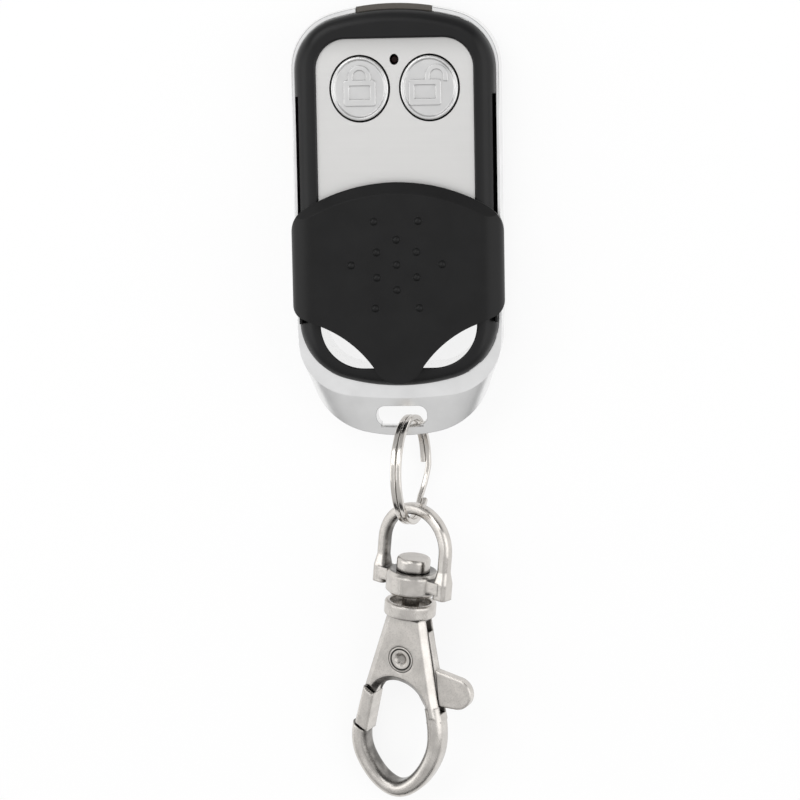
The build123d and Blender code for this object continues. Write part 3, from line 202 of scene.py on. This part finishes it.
class Finish:
    """A material under construction: a principled shader with object coordinates at hand."""

    def __init__(self, name, color, metallic=0.0, roughness=0.4):
        self.material = bpy.data.materials.new(name)
        self.material.use_nodes = True
        self.tree = self.material.node_tree
        self.shader = self.tree.nodes["Principled BSDF"]
        self.set("Base Color", (*color, 1.0))
        self.set("Metallic", metallic)
        self.set("Roughness", roughness)
        self.object_coordinates = self.node("ShaderNodeTexCoord").outputs["Object"]

    def node(self, kind, **settings):
        made = self.tree.nodes.new(kind)
        for key, value in settings.items():
            setattr(made, key, value)
        return made

    def link(self, source, target):
        self.tree.links.new(source, target)

    def set(self, socket, value):
        self.shader.inputs[socket].default_value = value

    def place(self, scale=(1, 1, 1), turn=(0, 0, 0), shift=(0, 0, 0)):
        """Object coordinates, moved by shift, turned and scaled."""
        mapping = self.node("ShaderNodeMapping", vector_type="TEXTURE")
        self.link(self.object_coordinates, mapping.inputs["Vector"])
        mapping.inputs["Location"].default_value = shift
        mapping.inputs["Rotation"].default_value = turn
        mapping.inputs["Scale"].default_value = scale
        return mapping.outputs["Vector"]

    def noise(self, vector, size, detail=3.0, rough=0.55):
        """Noise whose features are about size metres across."""
        made = self.node("ShaderNodeTexNoise")
        made.inputs["Scale"].default_value = 1.0 / size
        made.inputs["Detail"].default_value = detail
        made.inputs["Roughness"].default_value = rough
        self.link(vector, made.inputs["Vector"])
        return made.outputs["Fac"]

    def axis_distance(self, centre, axis):
        """Distance from the line through centre along axis, in metres."""
        turn = Vector(axis).to_track_quat("Z", "Y").to_euler()
        flattened = self.place(scale=(1.0, 1.0, 1000.0), turn=turn, shift=centre)
        length = self.node("ShaderNodeVectorMath", operation="LENGTH")
        self.link(flattened, length.inputs[0])
        return length.outputs["Value"]

    def facing(self, axis, low, high):
        """1 where the surface faces along axis, either way, and 0 where it is turned from it."""
        dot = self.node("ShaderNodeVectorMath", operation="DOT_PRODUCT")
        self.link(self.node("ShaderNodeTexCoord").outputs["Normal"], dot.inputs[0])
        dot.inputs[1].default_value = axis
        return self.spread(self.math("ABSOLUTE", dot.outputs["Value"], 0.0), low, high, 0.0, 1.0)

    def across(self, letter):
        """One of the object coordinates, in metres."""
        split = self.node("ShaderNodeSeparateXYZ")
        self.link(self.object_coordinates, split.inputs["Vector"])
        return split.outputs[letter]

    def inward(self, centre):
        """1 where the surface faces the point centre, and 0 where it faces away from it."""
        away = self.node("ShaderNodeVectorMath", operation="SUBTRACT")
        self.link(self.object_coordinates, away.inputs[0])
        away.inputs[1].default_value = centre
        unit = self.node("ShaderNodeVectorMath", operation="NORMALIZE")
        self.link(away.outputs["Vector"], unit.inputs[0])
        dot = self.node("ShaderNodeVectorMath", operation="DOT_PRODUCT")
        self.link(unit.outputs["Vector"], dot.inputs[0])
        self.link(self.node("ShaderNodeTexCoord").outputs["Normal"], dot.inputs[1])
        return self.spread(dot.outputs["Value"], -0.05, -0.6, 0.0, 1.0)

    def band(self, value, low, high, soft):
        """1 where value lies between low and high, with soft ends."""
        rise = self.spread(value, low - soft, low, 0.0, 1.0)
        return self.math("MULTIPLY", rise, self.spread(value, high, high + soft, 1.0, 0.0))

    def cells(self, vector, size):
        """Distance from the middle of cells about size metres across."""
        made = self.node("ShaderNodeTexVoronoi")
        made.inputs["Scale"].default_value = 1.0 / size
        self.link(vector, made.inputs["Vector"])
        return made.outputs["Distance"]

    def spread(self, value, low, high, out_low, out_high):
        """Maps low..high onto out_low..out_high, clamped."""
        made = self.node("ShaderNodeMapRange")
        self.link(value, made.inputs["Value"])
        limits = {"From Min": low, "From Max": high, "To Min": out_low, "To Max": out_high}
        for name, number in limits.items():
            made.inputs[name].default_value = number
        return made.outputs["Result"]

    def mix(self, factor, first, second):
        """Colour between first and second; each is a colour or a socket."""
        made = self.node("ShaderNodeMix", data_type="RGBA")
        self.link(factor, made.inputs["Factor"])
        for socket, value in ((made.inputs[6], first), (made.inputs[7], second)):
            if isinstance(value, bpy.types.NodeSocket):
                self.link(value, socket)
            else:
                socket.default_value = (*value, 1.0)
        return made.outputs[2]

    def math(self, operation, first, second):
        made = self.node("ShaderNodeMath", operation=operation)
        for socket, value in zip(made.inputs, (first, second)):
            if isinstance(value, bpy.types.NodeSocket):
                self.link(value, socket)
            else:
                socket.default_value = value
        return made.outputs["Value"]

    def times(self, first, second):
        return self.math("MULTIPLY", first, second)

    def plus(self, first, second):
        return self.math("ADD", first, second)

    def mottle(self, field, color, dark, pale, low=0.3, high=0.7):
        """The colour at dark times its level where field is low, and at pale times where it is high."""
        return self.mix(self.spread(field, low, high, 0.0, 1.0), shade(color, dark), shade(color, pale))

    def hairlines(self):
        """Fine scratches that run aslant over the piece."""
        aslant = self.place(scale=HAIRLINE_STRETCH, turn=HAIRLINE_TURN)
        return self.noise(aslant, HAIRLINE_WIDTH, 2.0)

    def edge(self, radius):
        """1 on sharp edges and 0 on flats, from how far a rounded normal leaves the true one."""
        bevel = self.node("ShaderNodeBevel", samples=4)
        bevel.inputs["Radius"].default_value = radius
        dot = self.node("ShaderNodeVectorMath", operation="DOT_PRODUCT")
        self.link(bevel.outputs["Normal"], dot.inputs[0])
        self.link(self.node("ShaderNodeNewGeometry").outputs["Normal"], dot.inputs[1])
        return self.spread(dot.outputs["Value"], 0.995, 0.9, 0.0, 1.0)

    def crevice(self, reach, alone=True):
        """1 in narrow corners and 0 in the open, from how much of the near sky is hidden.

        Where alone is False, the pieces round it hide the sky too.
        """
        sky = self.node("ShaderNodeAmbientOcclusion", samples=6, only_local=alone)
        sky.inputs["Distance"].default_value = reach
        return self.spread(sky.outputs["AO"], 0.85, 0.4, 0.0, 1.0)

    def soften(self, radius):
        """Rounds the shading over sharp edges."""
        bevel = self.node("ShaderNodeBevel", samples=4)
        bevel.inputs["Radius"].default_value = radius
        return bevel.outputs["Normal"]

    def bump(self, height, depth, strength=1.0, normal=None):
        """Relief of the given depth in metres, on top of normal."""
        made = self.node("ShaderNodeBump")
        made.inputs["Strength"].default_value = strength
        made.inputs["Distance"].default_value = depth
        self.link(height, made.inputs["Height"])
        if normal is not None:
            self.link(normal, made.inputs["Normal"])
        return made.outputs["Normal"]

    def use(self, color, roughness=None, normal=None, metallic=None):
        """Links what is given to the shader, and returns the finished material."""
        sockets = {"Base Color": color, "Roughness": roughness, "Normal": normal, "Metallic": metallic}
        for name, socket in sockets.items():
            if socket is not None:
                self.link(socket, self.shader.inputs[name])
        return self.material


def joint(name):
    """The record's joint of that name."""
    return next(row for row in frame["joints"] if row["name"] == name)


def shade(color, factor):
    """The colour, lightened or darkened by factor."""
    return tuple(min(1.0, c * factor) for c in color)


def dress(material, *names):
    """Puts the material in every slot of the named CAD nodes."""
    for name in names:
        slots = frame["nodes"][name].data.materials
        if len(slots) == 0:
            slots.append(material)
        for i in range(len(slots)):
            slots[i] = material


# Metal finishes


def cast_metal(name, color, roughness, soften=0.08 * MM, corner_shade=0.45, shaded_creases=None):
    """Plated casting: soft cloudy tint, fine pits, hairline scratches, bright edges, painted shade in
    corners.

    The last argument holds the two places along y past which the creases turn from bright to dark, as
    painted shade.
    """
    finish = Finish(name, color, metallic=1.0, roughness=roughness)
    plain = finish.place()
    cloud = finish.noise(plain, 3.0 * MM, 4.0)
    fine = finish.noise(plain, 0.12 * MM, 2.0)
    hair = finish.hairlines()
    worn = finish.edge(PLATING_WEAR)
    tint = finish.mottle(cloud, color, 0.97, 1.03, low=0.35)
    tint = finish.mix(finish.times(worn, 0.5), tint, shade(color, 1.25))
    # Painted shade on the creases past the two places along y
    if shaded_creases is not None:
        near_end, far_end = shaded_creases
        far = finish.spread(finish.across("Y"), far_end, far_end + 4 * MM, 0.0, 0.9)
        near = finish.spread(finish.across("Y"), near_end, near_end - 0.4 * MM, 0.0, 0.6)
        tint = finish.mix(finish.times(worn, finish.plus(far, near)), tint, shade(color, 0.15))
    # Painted shade: the tint darkens in corners, from the crevice mask
    tint = finish.mix(finish.times(finish.crevice(PLATING_SHADE_REACH), corner_shade), tint, shade(color, 0.25))
    rough = finish.spread(cloud, 0.3, 0.7, roughness * 0.92, roughness * 1.08)
    rough = finish.plus(rough, finish.spread(hair, 0.55, 0.75, 0.0, 0.05))
    height = finish.plus(fine, finish.times(hair, 0.5))
    normal = finish.bump(height, 0.003 * MM, 0.3, finish.soften(soften))
    return finish.use(tint, rough, normal)


def nickel_casting(name, color, roughness, axis, pin=None, loop=None):
    """Tumbled casting: flats across axis are grey and speckled, edges and round bars rubbed bright.

    pin is the centre of a riveted head, whose dish and groove get painted shade. loop is the centre of
    an opening, whose inner side gets painted dark reflection in patches.
    """
    finish = Finish(name, color, metallic=1.0, roughness=roughness)
    plain = finish.place()
    cloud = finish.noise(plain, 2.2 * MM, 4.0)
    speckle = finish.noise(plain, 0.17 * MM, 3.0, 0.7)
    hair = finish.hairlines()
    flat = finish.facing(axis, 0.955, 0.995)
    rubbed = finish.mottle(cloud, color, 0.85, 1.06, low=0.35)
    grey = finish.mottle(cloud, color, 0.82, 1.0, low=0.35, high=0.65)
    grey = finish.mix(finish.spread(speckle, 0.5, 0.66, 0.0, 0.8), grey, shade(color, 0.6))
    tint = finish.mix(flat, rubbed, grey)
    tint = finish.mix(finish.times(finish.edge(CASTING_WEAR), 0.6), tint, shade(color, 1.15))
    # Painted shade where parts meet and in corners, from the crevice mask with the pieces round it
    gap = finish.crevice(CASTING_SHADE_REACH, alone=False)
    tint = finish.mix(finish.times(gap, 0.85), tint, shade(color, 0.12))
    # Painted dark reflection in patches on the inner side of the opening
    if loop is not None:
        inner_dark_reflection = finish.times(finish.inward(loop), finish.spread(cloud, 0.3, 0.55, 0.45, 0.95))
        tint = finish.mix(inner_dark_reflection, tint, shade(color, 0.2))
    # Painted shade in the rivet's dish, and a painted shadow in its groove
    if pin is not None:
        reach = finish.axis_distance(pin, axis)
        tint = finish.mix(finish.spread(reach, *RIVET_DISH, 0.6, 0.0), tint, shade(color, 0.35))
        tint = finish.mix(finish.band(reach, *RIVET_GROOVE, GROOVE_SOFTNESS), tint, shade(color, 0.05))
    rough = finish.spread(cloud, 0.3, 0.7, roughness * 0.85, roughness * 1.15)
    rough = finish.plus(rough, finish.times(flat, 0.16))
    rough = finish.plus(rough, finish.spread(hair, 0.55, 0.75, 0.0, 0.06))
    height = finish.plus(finish.times(speckle, finish.plus(flat, 0.05)), finish.times(hair, 0.2))
    normal = finish.bump(height, 0.01 * MM, 0.35, finish.soften(0.42 * MM))
    return finish.use(tint, rough, normal)


def brushed_metal(name, color, roughness, pitch, along=(60.0, 1.0, 1.0), contrast=0.1, shaded_end=None):
    """Metal brushed in straight lines: streaky tint and roughness, and long fine grooves.

    along stretches the streaks. The last argument is the place along y of an end that gets painted
    shade.
    """
    finish = Finish(name, color, metallic=1.0, roughness=roughness)
    stretched = finish.place(scale=along)
    streaks = finish.noise(stretched, pitch, 5.0, 0.7)
    broad = finish.noise(stretched, pitch * 6, 3.0)
    cloud = finish.noise(finish.place(), 6.0 * MM, 3.0)
    tint = finish.mottle(streaks, color, 1.0 - contrast, 1.0 + contrast)
    tint = finish.mix(finish.spread(broad, 0.3, 0.7, 0.0, 0.5), tint, shade(color, 0.97))
    # Painted shade towards the given end
    if shaded_end is not None:
        end_shade = finish.spread(finish.across("Y"), shaded_end - SHADED_END_LENGTH, shaded_end, 0.0, 1.0)
        tint = finish.mix(finish.times(end_shade, end_shade), tint, shade(color, 0.72))
    rough = finish.spread(streaks, 0.3, 0.7, roughness * 0.85, roughness * 1.2)
    rough = finish.plus(rough, finish.spread(cloud, 0.3, 0.7, -0.03, 0.03))
    normal = finish.bump(streaks, 0.006 * MM, 0.4, finish.soften(0.06 * MM))
    return finish.use(tint, rough, normal)


def turned_metal(name, color, roughness, centre):
    """Metal turned on a lathe: fine rings about an upright axis through centre."""
    finish = Finish(name, color, metallic=1.0, roughness=roughness)
    rings = finish.node("ShaderNodeTexWave", wave_type="RINGS", rings_direction="Z")
    rings.inputs["Scale"].default_value = 0.3 / TURNING_PITCH
    rings.inputs["Distortion"].default_value = 1.5
    finish.link(finish.place(shift=centre), rings.inputs["Vector"])
    cloud = finish.noise(finish.place(), 1.5 * MM, 3.0)
    tint = finish.mottle(cloud, color, 0.9, 1.06)
    rough = finish.spread(rings.outputs["Fac"], 0.0, 1.0, roughness * 0.85, roughness * 1.15)
    normal = finish.bump(rings.outputs["Fac"], 0.004 * MM, 0.3, finish.soften(0.05 * MM))
    return finish.use(tint, rough, normal)


# Plastic finishes


def crowned(finish, start, normal):
    """Bends the shading by a bump, so that the skin seems to fall away to the sides past the half width
    start, by a parabola in x.
    """
    out = finish.math("SUBTRACT", finish.math("ABSOLUTE", finish.across("X"), 0.0), start)
    past = finish.math("MAXIMUM", out, 0.0)
    fall = finish.times(finish.times(past, past), -CROWN_CURVE)
    return finish.bump(fall, 1.0, 1.0, normal)


def upright_walls(finish, box):
    """1 on the upright walls within a box in x and y, and 0 elsewhere."""
    left, right, bottom, top = box
    wall = finish.math("SUBTRACT", 1.0, finish.facing((0.0, 0.0, 1.0), 0.2, 0.35))
    wall = finish.times(wall, finish.band(finish.across("X"), left, right, WALL_SOFTNESS))
    return finish.times(wall, finish.band(finish.across("Y"), bottom, top, WALL_SOFTNESS))


def moulded_plastic(name, color, roughness, grain, depth, crown=None, liner=None):
    """Moulded plastic: pebbled grain, faint clouding and rubbed, slightly paler edges.

    crown is the half width past which a bump makes the skin seem to fall away. liner is a box in x
    and y whose upright walls are plated bright.
    """
    finish = Finish(name, color, roughness=roughness)
    finish.set("IOR", 1.5)
    finish.set("Specular IOR Level", 0.3)
    pebble = finish.cells(finish.place(), grain)
    fine = finish.noise(finish.place(), grain * 0.5, 3.0)
    cloud = finish.noise(finish.place(), 5.0 * MM, 3.0)
    worn = finish.edge(PLASTIC_WEAR)
    tint = finish.mottle(cloud, color, 0.85, 1.2)
    tint = finish.mix(finish.times(worn, 0.35), tint, shade(color, 2.4))
    rough = finish.spread(fine, 0.3, 0.7, roughness * 0.88, roughness * 1.1)
    rough = finish.math("SUBTRACT", rough, finish.times(worn, 0.05))
    height = finish.plus(pebble, finish.times(fine, 0.6))
    normal = finish.soften(0.12 * MM)
    if crown is not None:
        normal = crowned(finish, crown, normal)
    normal = finish.bump(height, depth, 0.4, normal)
    if liner is None:
        return finish.use(tint, rough, normal)
    wall = upright_walls(finish, liner)
    tint = finish.mix(wall, tint, PLATED_WALL)
    rough = finish.math("SUBTRACT", rough, finish.times(wall, roughness * 0.6))
    return finish.use(tint, rough, normal, wall)


def soft_touch(name, color, roughness):
    """Rubberised lacquer: very fine matt grain, a soft sheen, a few dust specks and painted shade in
    corners.
    """
    finish = Finish(name, color, roughness=roughness)
    finish.set("IOR", 1.47)
    finish.set("Specular IOR Level", 0.25)
    finish.set("Sheen Weight", 0.04)
    finish.set("Sheen Roughness", 0.4)
    fine = finish.noise(finish.place(), 0.09 * MM, 4.0, 0.65)
    cloud = finish.noise(finish.place(), 4.0 * MM, 4.0)
    specks = finish.spread(finish.cells(finish.place(), 0.9 * MM), 0.035, 0.02, 0.0, 0.25)
    worn = finish.edge(COVER_WEAR)
    foot_shade = finish.crevice(COVER_SHADE_REACH)
    tint = finish.mottle(cloud, color, 0.85, 1.25)
    tint = finish.mix(finish.times(worn, 0.4), tint, shade(color, 2.2))
    # Painted shade round the feet of the grip domes and in corners
    tint = finish.mix(finish.times(foot_shade, 0.8), tint, shade(color, 0.1))
    tint = finish.mix(specks, tint, shade(color, 4.0))
    rough = finish.spread(cloud, 0.3, 0.7, roughness * 0.94, roughness * 1.06)
    rough = finish.math("SUBTRACT", rough, finish.times(worn, 0.08))
    normal = finish.bump(fine, 0.005 * MM, 0.4, finish.soften(0.15 * MM))
    return finish.use(tint, rough, normal)


def circuit_lacquer(name, color):
    """Lacquered board: a fine weave, and tracks in short square runs."""
    finish = Finish(name, color, roughness=0.3)
    tracks = finish.node("ShaderNodeTexBrick")
    tracks.inputs["Scale"].default_value = 450.0
    tracks.inputs["Mortar Size"].default_value = 0.03
    for socket, level in (("Color1", 0.9), ("Color2", 1.1), ("Mortar", 2.2)):
        tracks.inputs[socket].default_value = (*shade(color, level), 1.0)
    finish.link(finish.place(), tracks.inputs["Vector"])
    weave = finish.noise(finish.place(scale=(1, 8, 1)), 0.2 * MM, 2.0)
    rough = finish.spread(weave, 0.3, 0.7, 0.25, 0.4)
    normal = finish.bump(tracks.outputs["Fac"], 0.02 * MM, 0.5)
    return finish.use(tracks.outputs["Color"], rough, normal)


def clear_lamp(name, color):
    """Tinted lamp body: deep, cloudy colour and a smooth skin."""
    finish = Finish(name, color, roughness=0.12)
    finish.set("Specular IOR Level", 0.15)
    core = finish.noise(finish.place(), 0.6 * MM, 2.0)
    rough = finish.spread(core, 0.3, 0.7, 0.08, 0.2)
    return finish.use(finish.mottle(core, color, 0.5, 1.5), rough)


# Operators


class FOB_OT_finish_frame(bpy.types.Operator):
    """Plate the cast hoop and brush the insert in its gap"""

    bl_idname = "fob.finish_frame"
    bl_label = "Finish Frame"

    def execute(self, context):
        metals = context.scene.fob_metals
        chrome = cast_metal("frame_chrome", metals.chrome, metals.chrome_roughness,
                            shaded_creases=SHADED_CREASE_Y)
        dress(chrome, "chrome_frame")
        insert = brushed_metal("insert_brushed", INSERT_STEEL, 0.42, 0.15 * MM,
                               along=(1.0, 1.0, 40.0), contrast=0.22)
        dress(insert, "top_insert")
        return {"FINISHED"}


class FOB_OT_finish_casing(bpy.types.Operator):
    """Mould the black halves of the casing and finish their screws"""

    bl_idname = "fob.finish_casing"
    bl_label = "Finish Casing"

    def execute(self, context):
        plastics = context.scene.fob_plastics
        bezel = moulded_plastic("bezel_black", plastics.gloss_black, plastics.bezel_roughness,
                                0.16 * MM, 0.004 * MM, crown=CROWN_START, liner=WINDOW_WALL)
        dress(bezel, "front_housing")
        back = moulded_plastic("back_black", plastics.gloss_black, 0.46, 0.22 * MM, 0.01 * MM,
                               liner=WINDOW_WALL)
        dress(back, "rear_housing")
        dress(cast_metal("screw_zinc", SCREW_ZINC, 0.36), "cover_screws")
        return {"FINISHED"}


class FOB_OT_finish_panel(bpy.types.Operator):
    """Brush the face panel, plate the button caps and tint the lamp"""

    bl_idname = "fob.finish_panel"
    bl_label = "Finish Panel and Buttons"

    def execute(self, context):
        metals = context.scene.fob_metals
        panel = brushed_metal("panel_brushed", metals.aluminium, 0.5, metals.grain_pitch, contrast=0.03,
                              shaded_end=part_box("face_panel")[1][1])
        dress(panel, "face_panel")
        cap = cast_metal("button_satin", metals.button, 0.32, soften=0.16 * MM, corner_shade=0.5)
        dress(cap, "lock_button", "unlock_button")
        dress(clear_lamp("lamp_tint", context.scene.fob_plastics.lamp), "status_lamp")
        return {"FINISHED"}


class FOB_OT_finish_cover(bpy.types.Operator):
    """Coat the slide cover in soft-touch lacquer"""

    bl_idname = "fob.finish_cover"
    bl_label = "Finish Slide Cover"

    def execute(self, context):
        plastics = context.scene.fob_plastics
        cover = soft_touch("cover_soft_touch", plastics.soft_black, plastics.cover_roughness)
        dress(cover, "slide_cover")
        return {"FINISHED"}


class FOB_OT_finish_chain(bpy.types.Operator):
    """Plate the split ring, the bail and the snap hook"""

    bl_idname = "fob.finish_chain"
    bl_label = "Finish Ring and Hook"

    def execute(self, context):
        metals = context.scene.fob_metals
        bright = shade(metals.nickel, 1.04)
        dress(cast_metal("ring_nickel", bright, 0.16), "split_ring")
        pivot = joint("trigger_open")
        hook = nickel_casting("hook_nickel", metals.nickel, metals.nickel_roughness, pivot["axis"],
                              loop=HOOK_MIDDLE)
        dress(hook, "hook_body")
        lever = nickel_casting("lever_nickel", bright, metals.nickel_roughness, pivot["axis"])
        dress(lever, "trigger_lever")
        rivet = nickel_casting("rivet_nickel", metals.nickel, metals.nickel_roughness, pivot["axis"],
                               pin=pivot["pos_m"])
        dress(rivet, "lever_rivet")
        swing = joint("bail_swing")
        bail = nickel_casting("bail_nickel", metals.nickel, 0.15, swing["axis"], loop=swing["pos_m"])
        dress(bail, "swivel_bail")
        post = nickel_casting("post_nickel", metals.nickel, 0.18, joint("hook_swivel")["axis"])
        dress(post, "swivel_post")
        dress(cast_metal("spring_steel", SPRING_STEEL, 0.3), "lever_spring")
        return {"FINISHED"}


class FOB_OT_finish_inside(bpy.types.Operator):
    """Finish the board, its parts, the cell and the switches"""

    bl_idname = "fob.finish_inside"
    bl_label = "Finish Inner Parts"

    def execute(self, context):
        plastics = context.scene.fob_plastics
        dress(circuit_lacquer("board_lacquer", plastics.board), "circuit_board")
        chip = moulded_plastic("package_black", PACKAGE_BLACK, 0.5, MOULD_GRAIN, 0.004 * MM)
        dress(chip, "control_chip")
        cell = (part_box("coin_cell")[0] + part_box("coin_cell")[1]) / 2
        dress(turned_metal("cell_steel", CELL_STEEL, 0.28, cell), "coin_cell")
        can = (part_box("rf_resonator")[0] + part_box("rf_resonator")[1]) / 2
        dress(turned_metal("can_steel", CAN_STEEL, 0.25, can), "rf_resonator", "crystal")
        dress(brushed_metal("aerial_copper", AERIAL_COPPER, 0.35, CONTACT_BRUSH), "loop_aerial")
        plated = brushed_metal("contact_plated", CONTACT_PLATE, 0.32, CONTACT_BRUSH,
                               along=(1.0, 30.0, 1.0))
        dress(plated, "battery_clip", "battery_contact")
        switch = brushed_metal("switch_plate", SWITCH_STEEL, 0.35, CONTACT_BRUSH)
        dress(switch, "lock_switch", "unlock_switch")
        plunger = moulded_plastic("plunger_black", PACKAGE_BLACK, 0.45, MOULD_GRAIN, 0.003 * MM)
        dress(plunger, "lock_plunger", "unlock_plunger")
        dress(soft_touch("pad_silicone", PAD_BLACK, 0.6), "lock_pad", "unlock_pad")
        return {"FINISHED"}


def sheet_grid(name, centre, across, along, width, height, cells):
    """Flat sheet about centre, width metres long along across and height metres along along."""
    steps = np.linspace(-0.5, 0.5, cells + 1)
    u, v = np.meshgrid(steps, steps, indexing="ij")
    across, along = np.array(across, float), np.array(along, float)
    points = np.array(centre) + u[..., None] * across * width + v[..., None] * along * height
    index = np.arange((cells + 1) ** 2).reshape(cells + 1, cells + 1)
    corners = (index[:-1, :-1], index[1:, :-1], index[1:, 1:], index[:-1, 1:])
    faces = np.stack(corners, -1).reshape(-1, 4)
    mesh = bpy.data.meshes.new(name)
    mesh.from_pydata(points.reshape(-1, 3).tolist(), [], faces.tolist())
    mesh.polygons.foreach_set("use_smooth", [True] * len(mesh.polygons))
    mesh.update()
    made = bpy.data.objects.new(name, mesh)
    bpy.context.scene.collection.objects.link(made)
    return made


def area_lamp(name, place, size, power):
    """Soft lamp that faces the middle of the fob."""
    data = bpy.data.lights.new(name, "AREA")
    data.shape = "RECTANGLE"
    data.size, data.size_y = size
    data.energy = power
    made = bpy.data.objects.new(name, data)
    made.location = place
    made.rotation_euler = (Vector(LIT_MIDDLE) - Vector(place)).to_track_quat("-Z", "Y").to_euler()
    bpy.context.scene.collection.objects.link(made)


def floor_material(color):
    """Pale floor with a faint mottle; straight views and mirror views see it nearly white."""
    finish = Finish("floor_pale", color, roughness=0.7)
    cloud = finish.noise(finish.place(), 40.0 * MM, 2.0)
    tint = finish.mix(cloud, shade(color, 0.995), shade(color, 1.005))
    finish.use(tint)
    path = finish.node("ShaderNodeLightPath")
    seen = finish.math("MAXIMUM", path.outputs["Is Camera Ray"], path.outputs["Is Glossy Ray"])
    seen = finish.math("MAXIMUM", seen, path.outputs["Is Transmission Ray"])
    glow = finish.node("ShaderNodeEmission")
    glow.inputs["Color"].default_value = (1.0, 1.0, 1.0, 1.0)
    strength = finish.spread(path.outputs["Is Camera Ray"], 0.0, 1.0, MIRRORED_FLOOR, 1.0)
    finish.link(strength, glow.inputs["Strength"])
    blend = finish.node("ShaderNodeMixShader")
    finish.link(finish.times(seen, FLOOR_GLOW), blend.inputs["Fac"])
    finish.link(finish.shader.outputs["BSDF"], blend.inputs[1])
    finish.link(glow.outputs["Emission"], blend.inputs[2])
    output = finish.tree.nodes["Material Output"]
    finish.link(blend.outputs["Shader"], output.inputs["Surface"])
    return finish.material


def card_material(name, level):
    """Plain card that only mirror views see, at the given level."""
    finish = Finish(name, (level, level, level), roughness=0.9)
    grain = finish.noise(finish.place(), 20.0 * MM, 2.0)
    finish.use(finish.mix(grain, (level * 0.95,) * 3, (level * 1.05,) * 3))
    return finish.material


class FOB_OT_stage(bpy.types.Operator):
    """Lay the floor, light the studio and set the camera"""

    bl_idname = "fob.stage"
    bl_label = "Stage"

    def execute(self, context):
        studio = context.scene.fob_studio
        floor = sheet_grid("floor", (0, 0, -FLOOR_DROP), (1, 0, 0), (0, 1, 0), FLOOR_SPAN, FLOOR_SPAN, 4)
        floor.data.materials.append(floor_material(studio.floor))
        self.add_lamps(studio)
        self.add_cards()
        self.add_world(context)
        self.add_camera(context, studio)
        context.scene.view_settings.view_transform = "Standard"
        return {"FINISHED"}

    def add_lamps(self, studio):
        area_lamp("key", KEY_PLACE, KEY_SIZE, studio.key_power)
        for name, place, size, share in SIDE_LAMPS:
            area_lamp(name, place, size, studio.fill_power * share)

    def add_cards(self):
        """Dark cards beyond the fob's ends, which give the plated parts their dark reflections."""
        dark = card_material("card_dark", CARD_LEVEL)
        for name, centre, across, along, width, height in CARDS:
            card = sheet_grid(name, centre, across, along, width, height, 6)
            card.data.materials.append(dark)
            card.visible_camera = card.visible_diffuse = card.visible_shadow = False

    def add_world(self, context):
        """Pale room that is brighter overhead."""
        world = bpy.data.worlds.new("studio")
        world.use_nodes = True
        context.scene.world = world
        tree = world.node_tree
        back = tree.nodes["Background"]
        coordinates = tree.nodes.new("ShaderNodeTexCoord")
        split = tree.nodes.new("ShaderNodeSeparateXYZ")
        tree.links.new(coordinates.outputs["Generated"], split.inputs["Vector"])
        ramp = tree.nodes.new("ShaderNodeValToRGB")
        tree.links.new(split.outputs["Z"], ramp.inputs["Fac"])
        stops = ramp.color_ramp.elements
        stops[0].color, stops[1].color = ROOM_FOOT, ROOM_TOP
        for place, level in ROOM_LEVELS:
            stops.new(place).color = (level, level, level, 1)
        tree.links.new(ramp.outputs["Color"], back.inputs["Color"])
        back.inputs["Strength"].default_value = 1.0

    def add_camera(self, context, studio):
        """Camera that looks down on the target from the photograph's viewpoint."""
        away = Vector((math.sin(studio.turn) * math.cos(studio.tip), math.sin(studio.tip),
                       math.cos(studio.turn) * math.cos(studio.tip)))
        right = (-away).cross(Vector((0, 1, 0))).normalized()
        up = right.cross(-away)
        rolled = right * math.cos(studio.roll) + up * math.sin(studio.roll)
        upright = up * math.cos(studio.roll) - right * math.sin(studio.roll)
        data = bpy.data.cameras.new("camera")
        data.sensor_fit, data.sensor_width = "HORIZONTAL", SENSOR_WIDTH
        data.lens = studio.lens
        data.clip_start, data.clip_end = CLIP_RANGE
        camera = bpy.data.objects.new("camera", data)
        place = Vector(studio.target) + away * studio.distance
        facing = Matrix((rolled, upright, away)).transposed().to_4x4()
        camera.matrix_world = Matrix.Translation(place) @ facing
        context.scene.collection.objects.link(camera)
        context.scene.camera = camera


class FOB_PT_panel(bpy.types.Panel):
    """Lists the fob's settings and steps"""

    bl_label = "Key Fob"
    bl_idname = "FOB_PT_panel"
    bl_space_type = "VIEW_3D"
    bl_region_type = "UI"
    bl_category = "Key Fob"

    def draw(self, context):
        for owner in (context.scene.fob_metals, context.scene.fob_plastics, context.scene.fob_studio):
            box = self.layout.box()
            for key in owner.__annotations__:
                box.prop(owner, key)
        for operator in STEPS:
            self.layout.operator(operator.bl_idname)


STEPS = (
    FOB_OT_finish_frame,
    FOB_OT_finish_casing,
    FOB_OT_finish_panel,
    FOB_OT_finish_cover,
    FOB_OT_finish_chain,
    FOB_OT_finish_inside,
    FOB_OT_stage,
)
GROUPS = {"fob_metals": FobMetals, "fob_plastics": FobPlastics, "fob_studio": FobStudio}


def register():
    for group in (*GROUPS.values(), *STEPS, FOB_PT_panel):
        bpy.utils.register_class(group)
    for name, group in GROUPS.items():
        setattr(bpy.types.Scene, name, bpy.props.PointerProperty(type=group))


def unregister():
    for name in GROUPS:
        delattr(bpy.types.Scene, name)
    for group in reversed((*GROUPS.values(), *STEPS, FOB_PT_panel)):
        bpy.utils.unregister_class(group)


def main():
    register()
    bpy.ops.fob.finish_frame()
    bpy.ops.fob.finish_casing()
    bpy.ops.fob.finish_panel()
    bpy.ops.fob.finish_cover()
    bpy.ops.fob.finish_chain()
    bpy.ops.fob.finish_inside()
    bpy.ops.fob.stage()


if __name__ == "__main__":
    main()
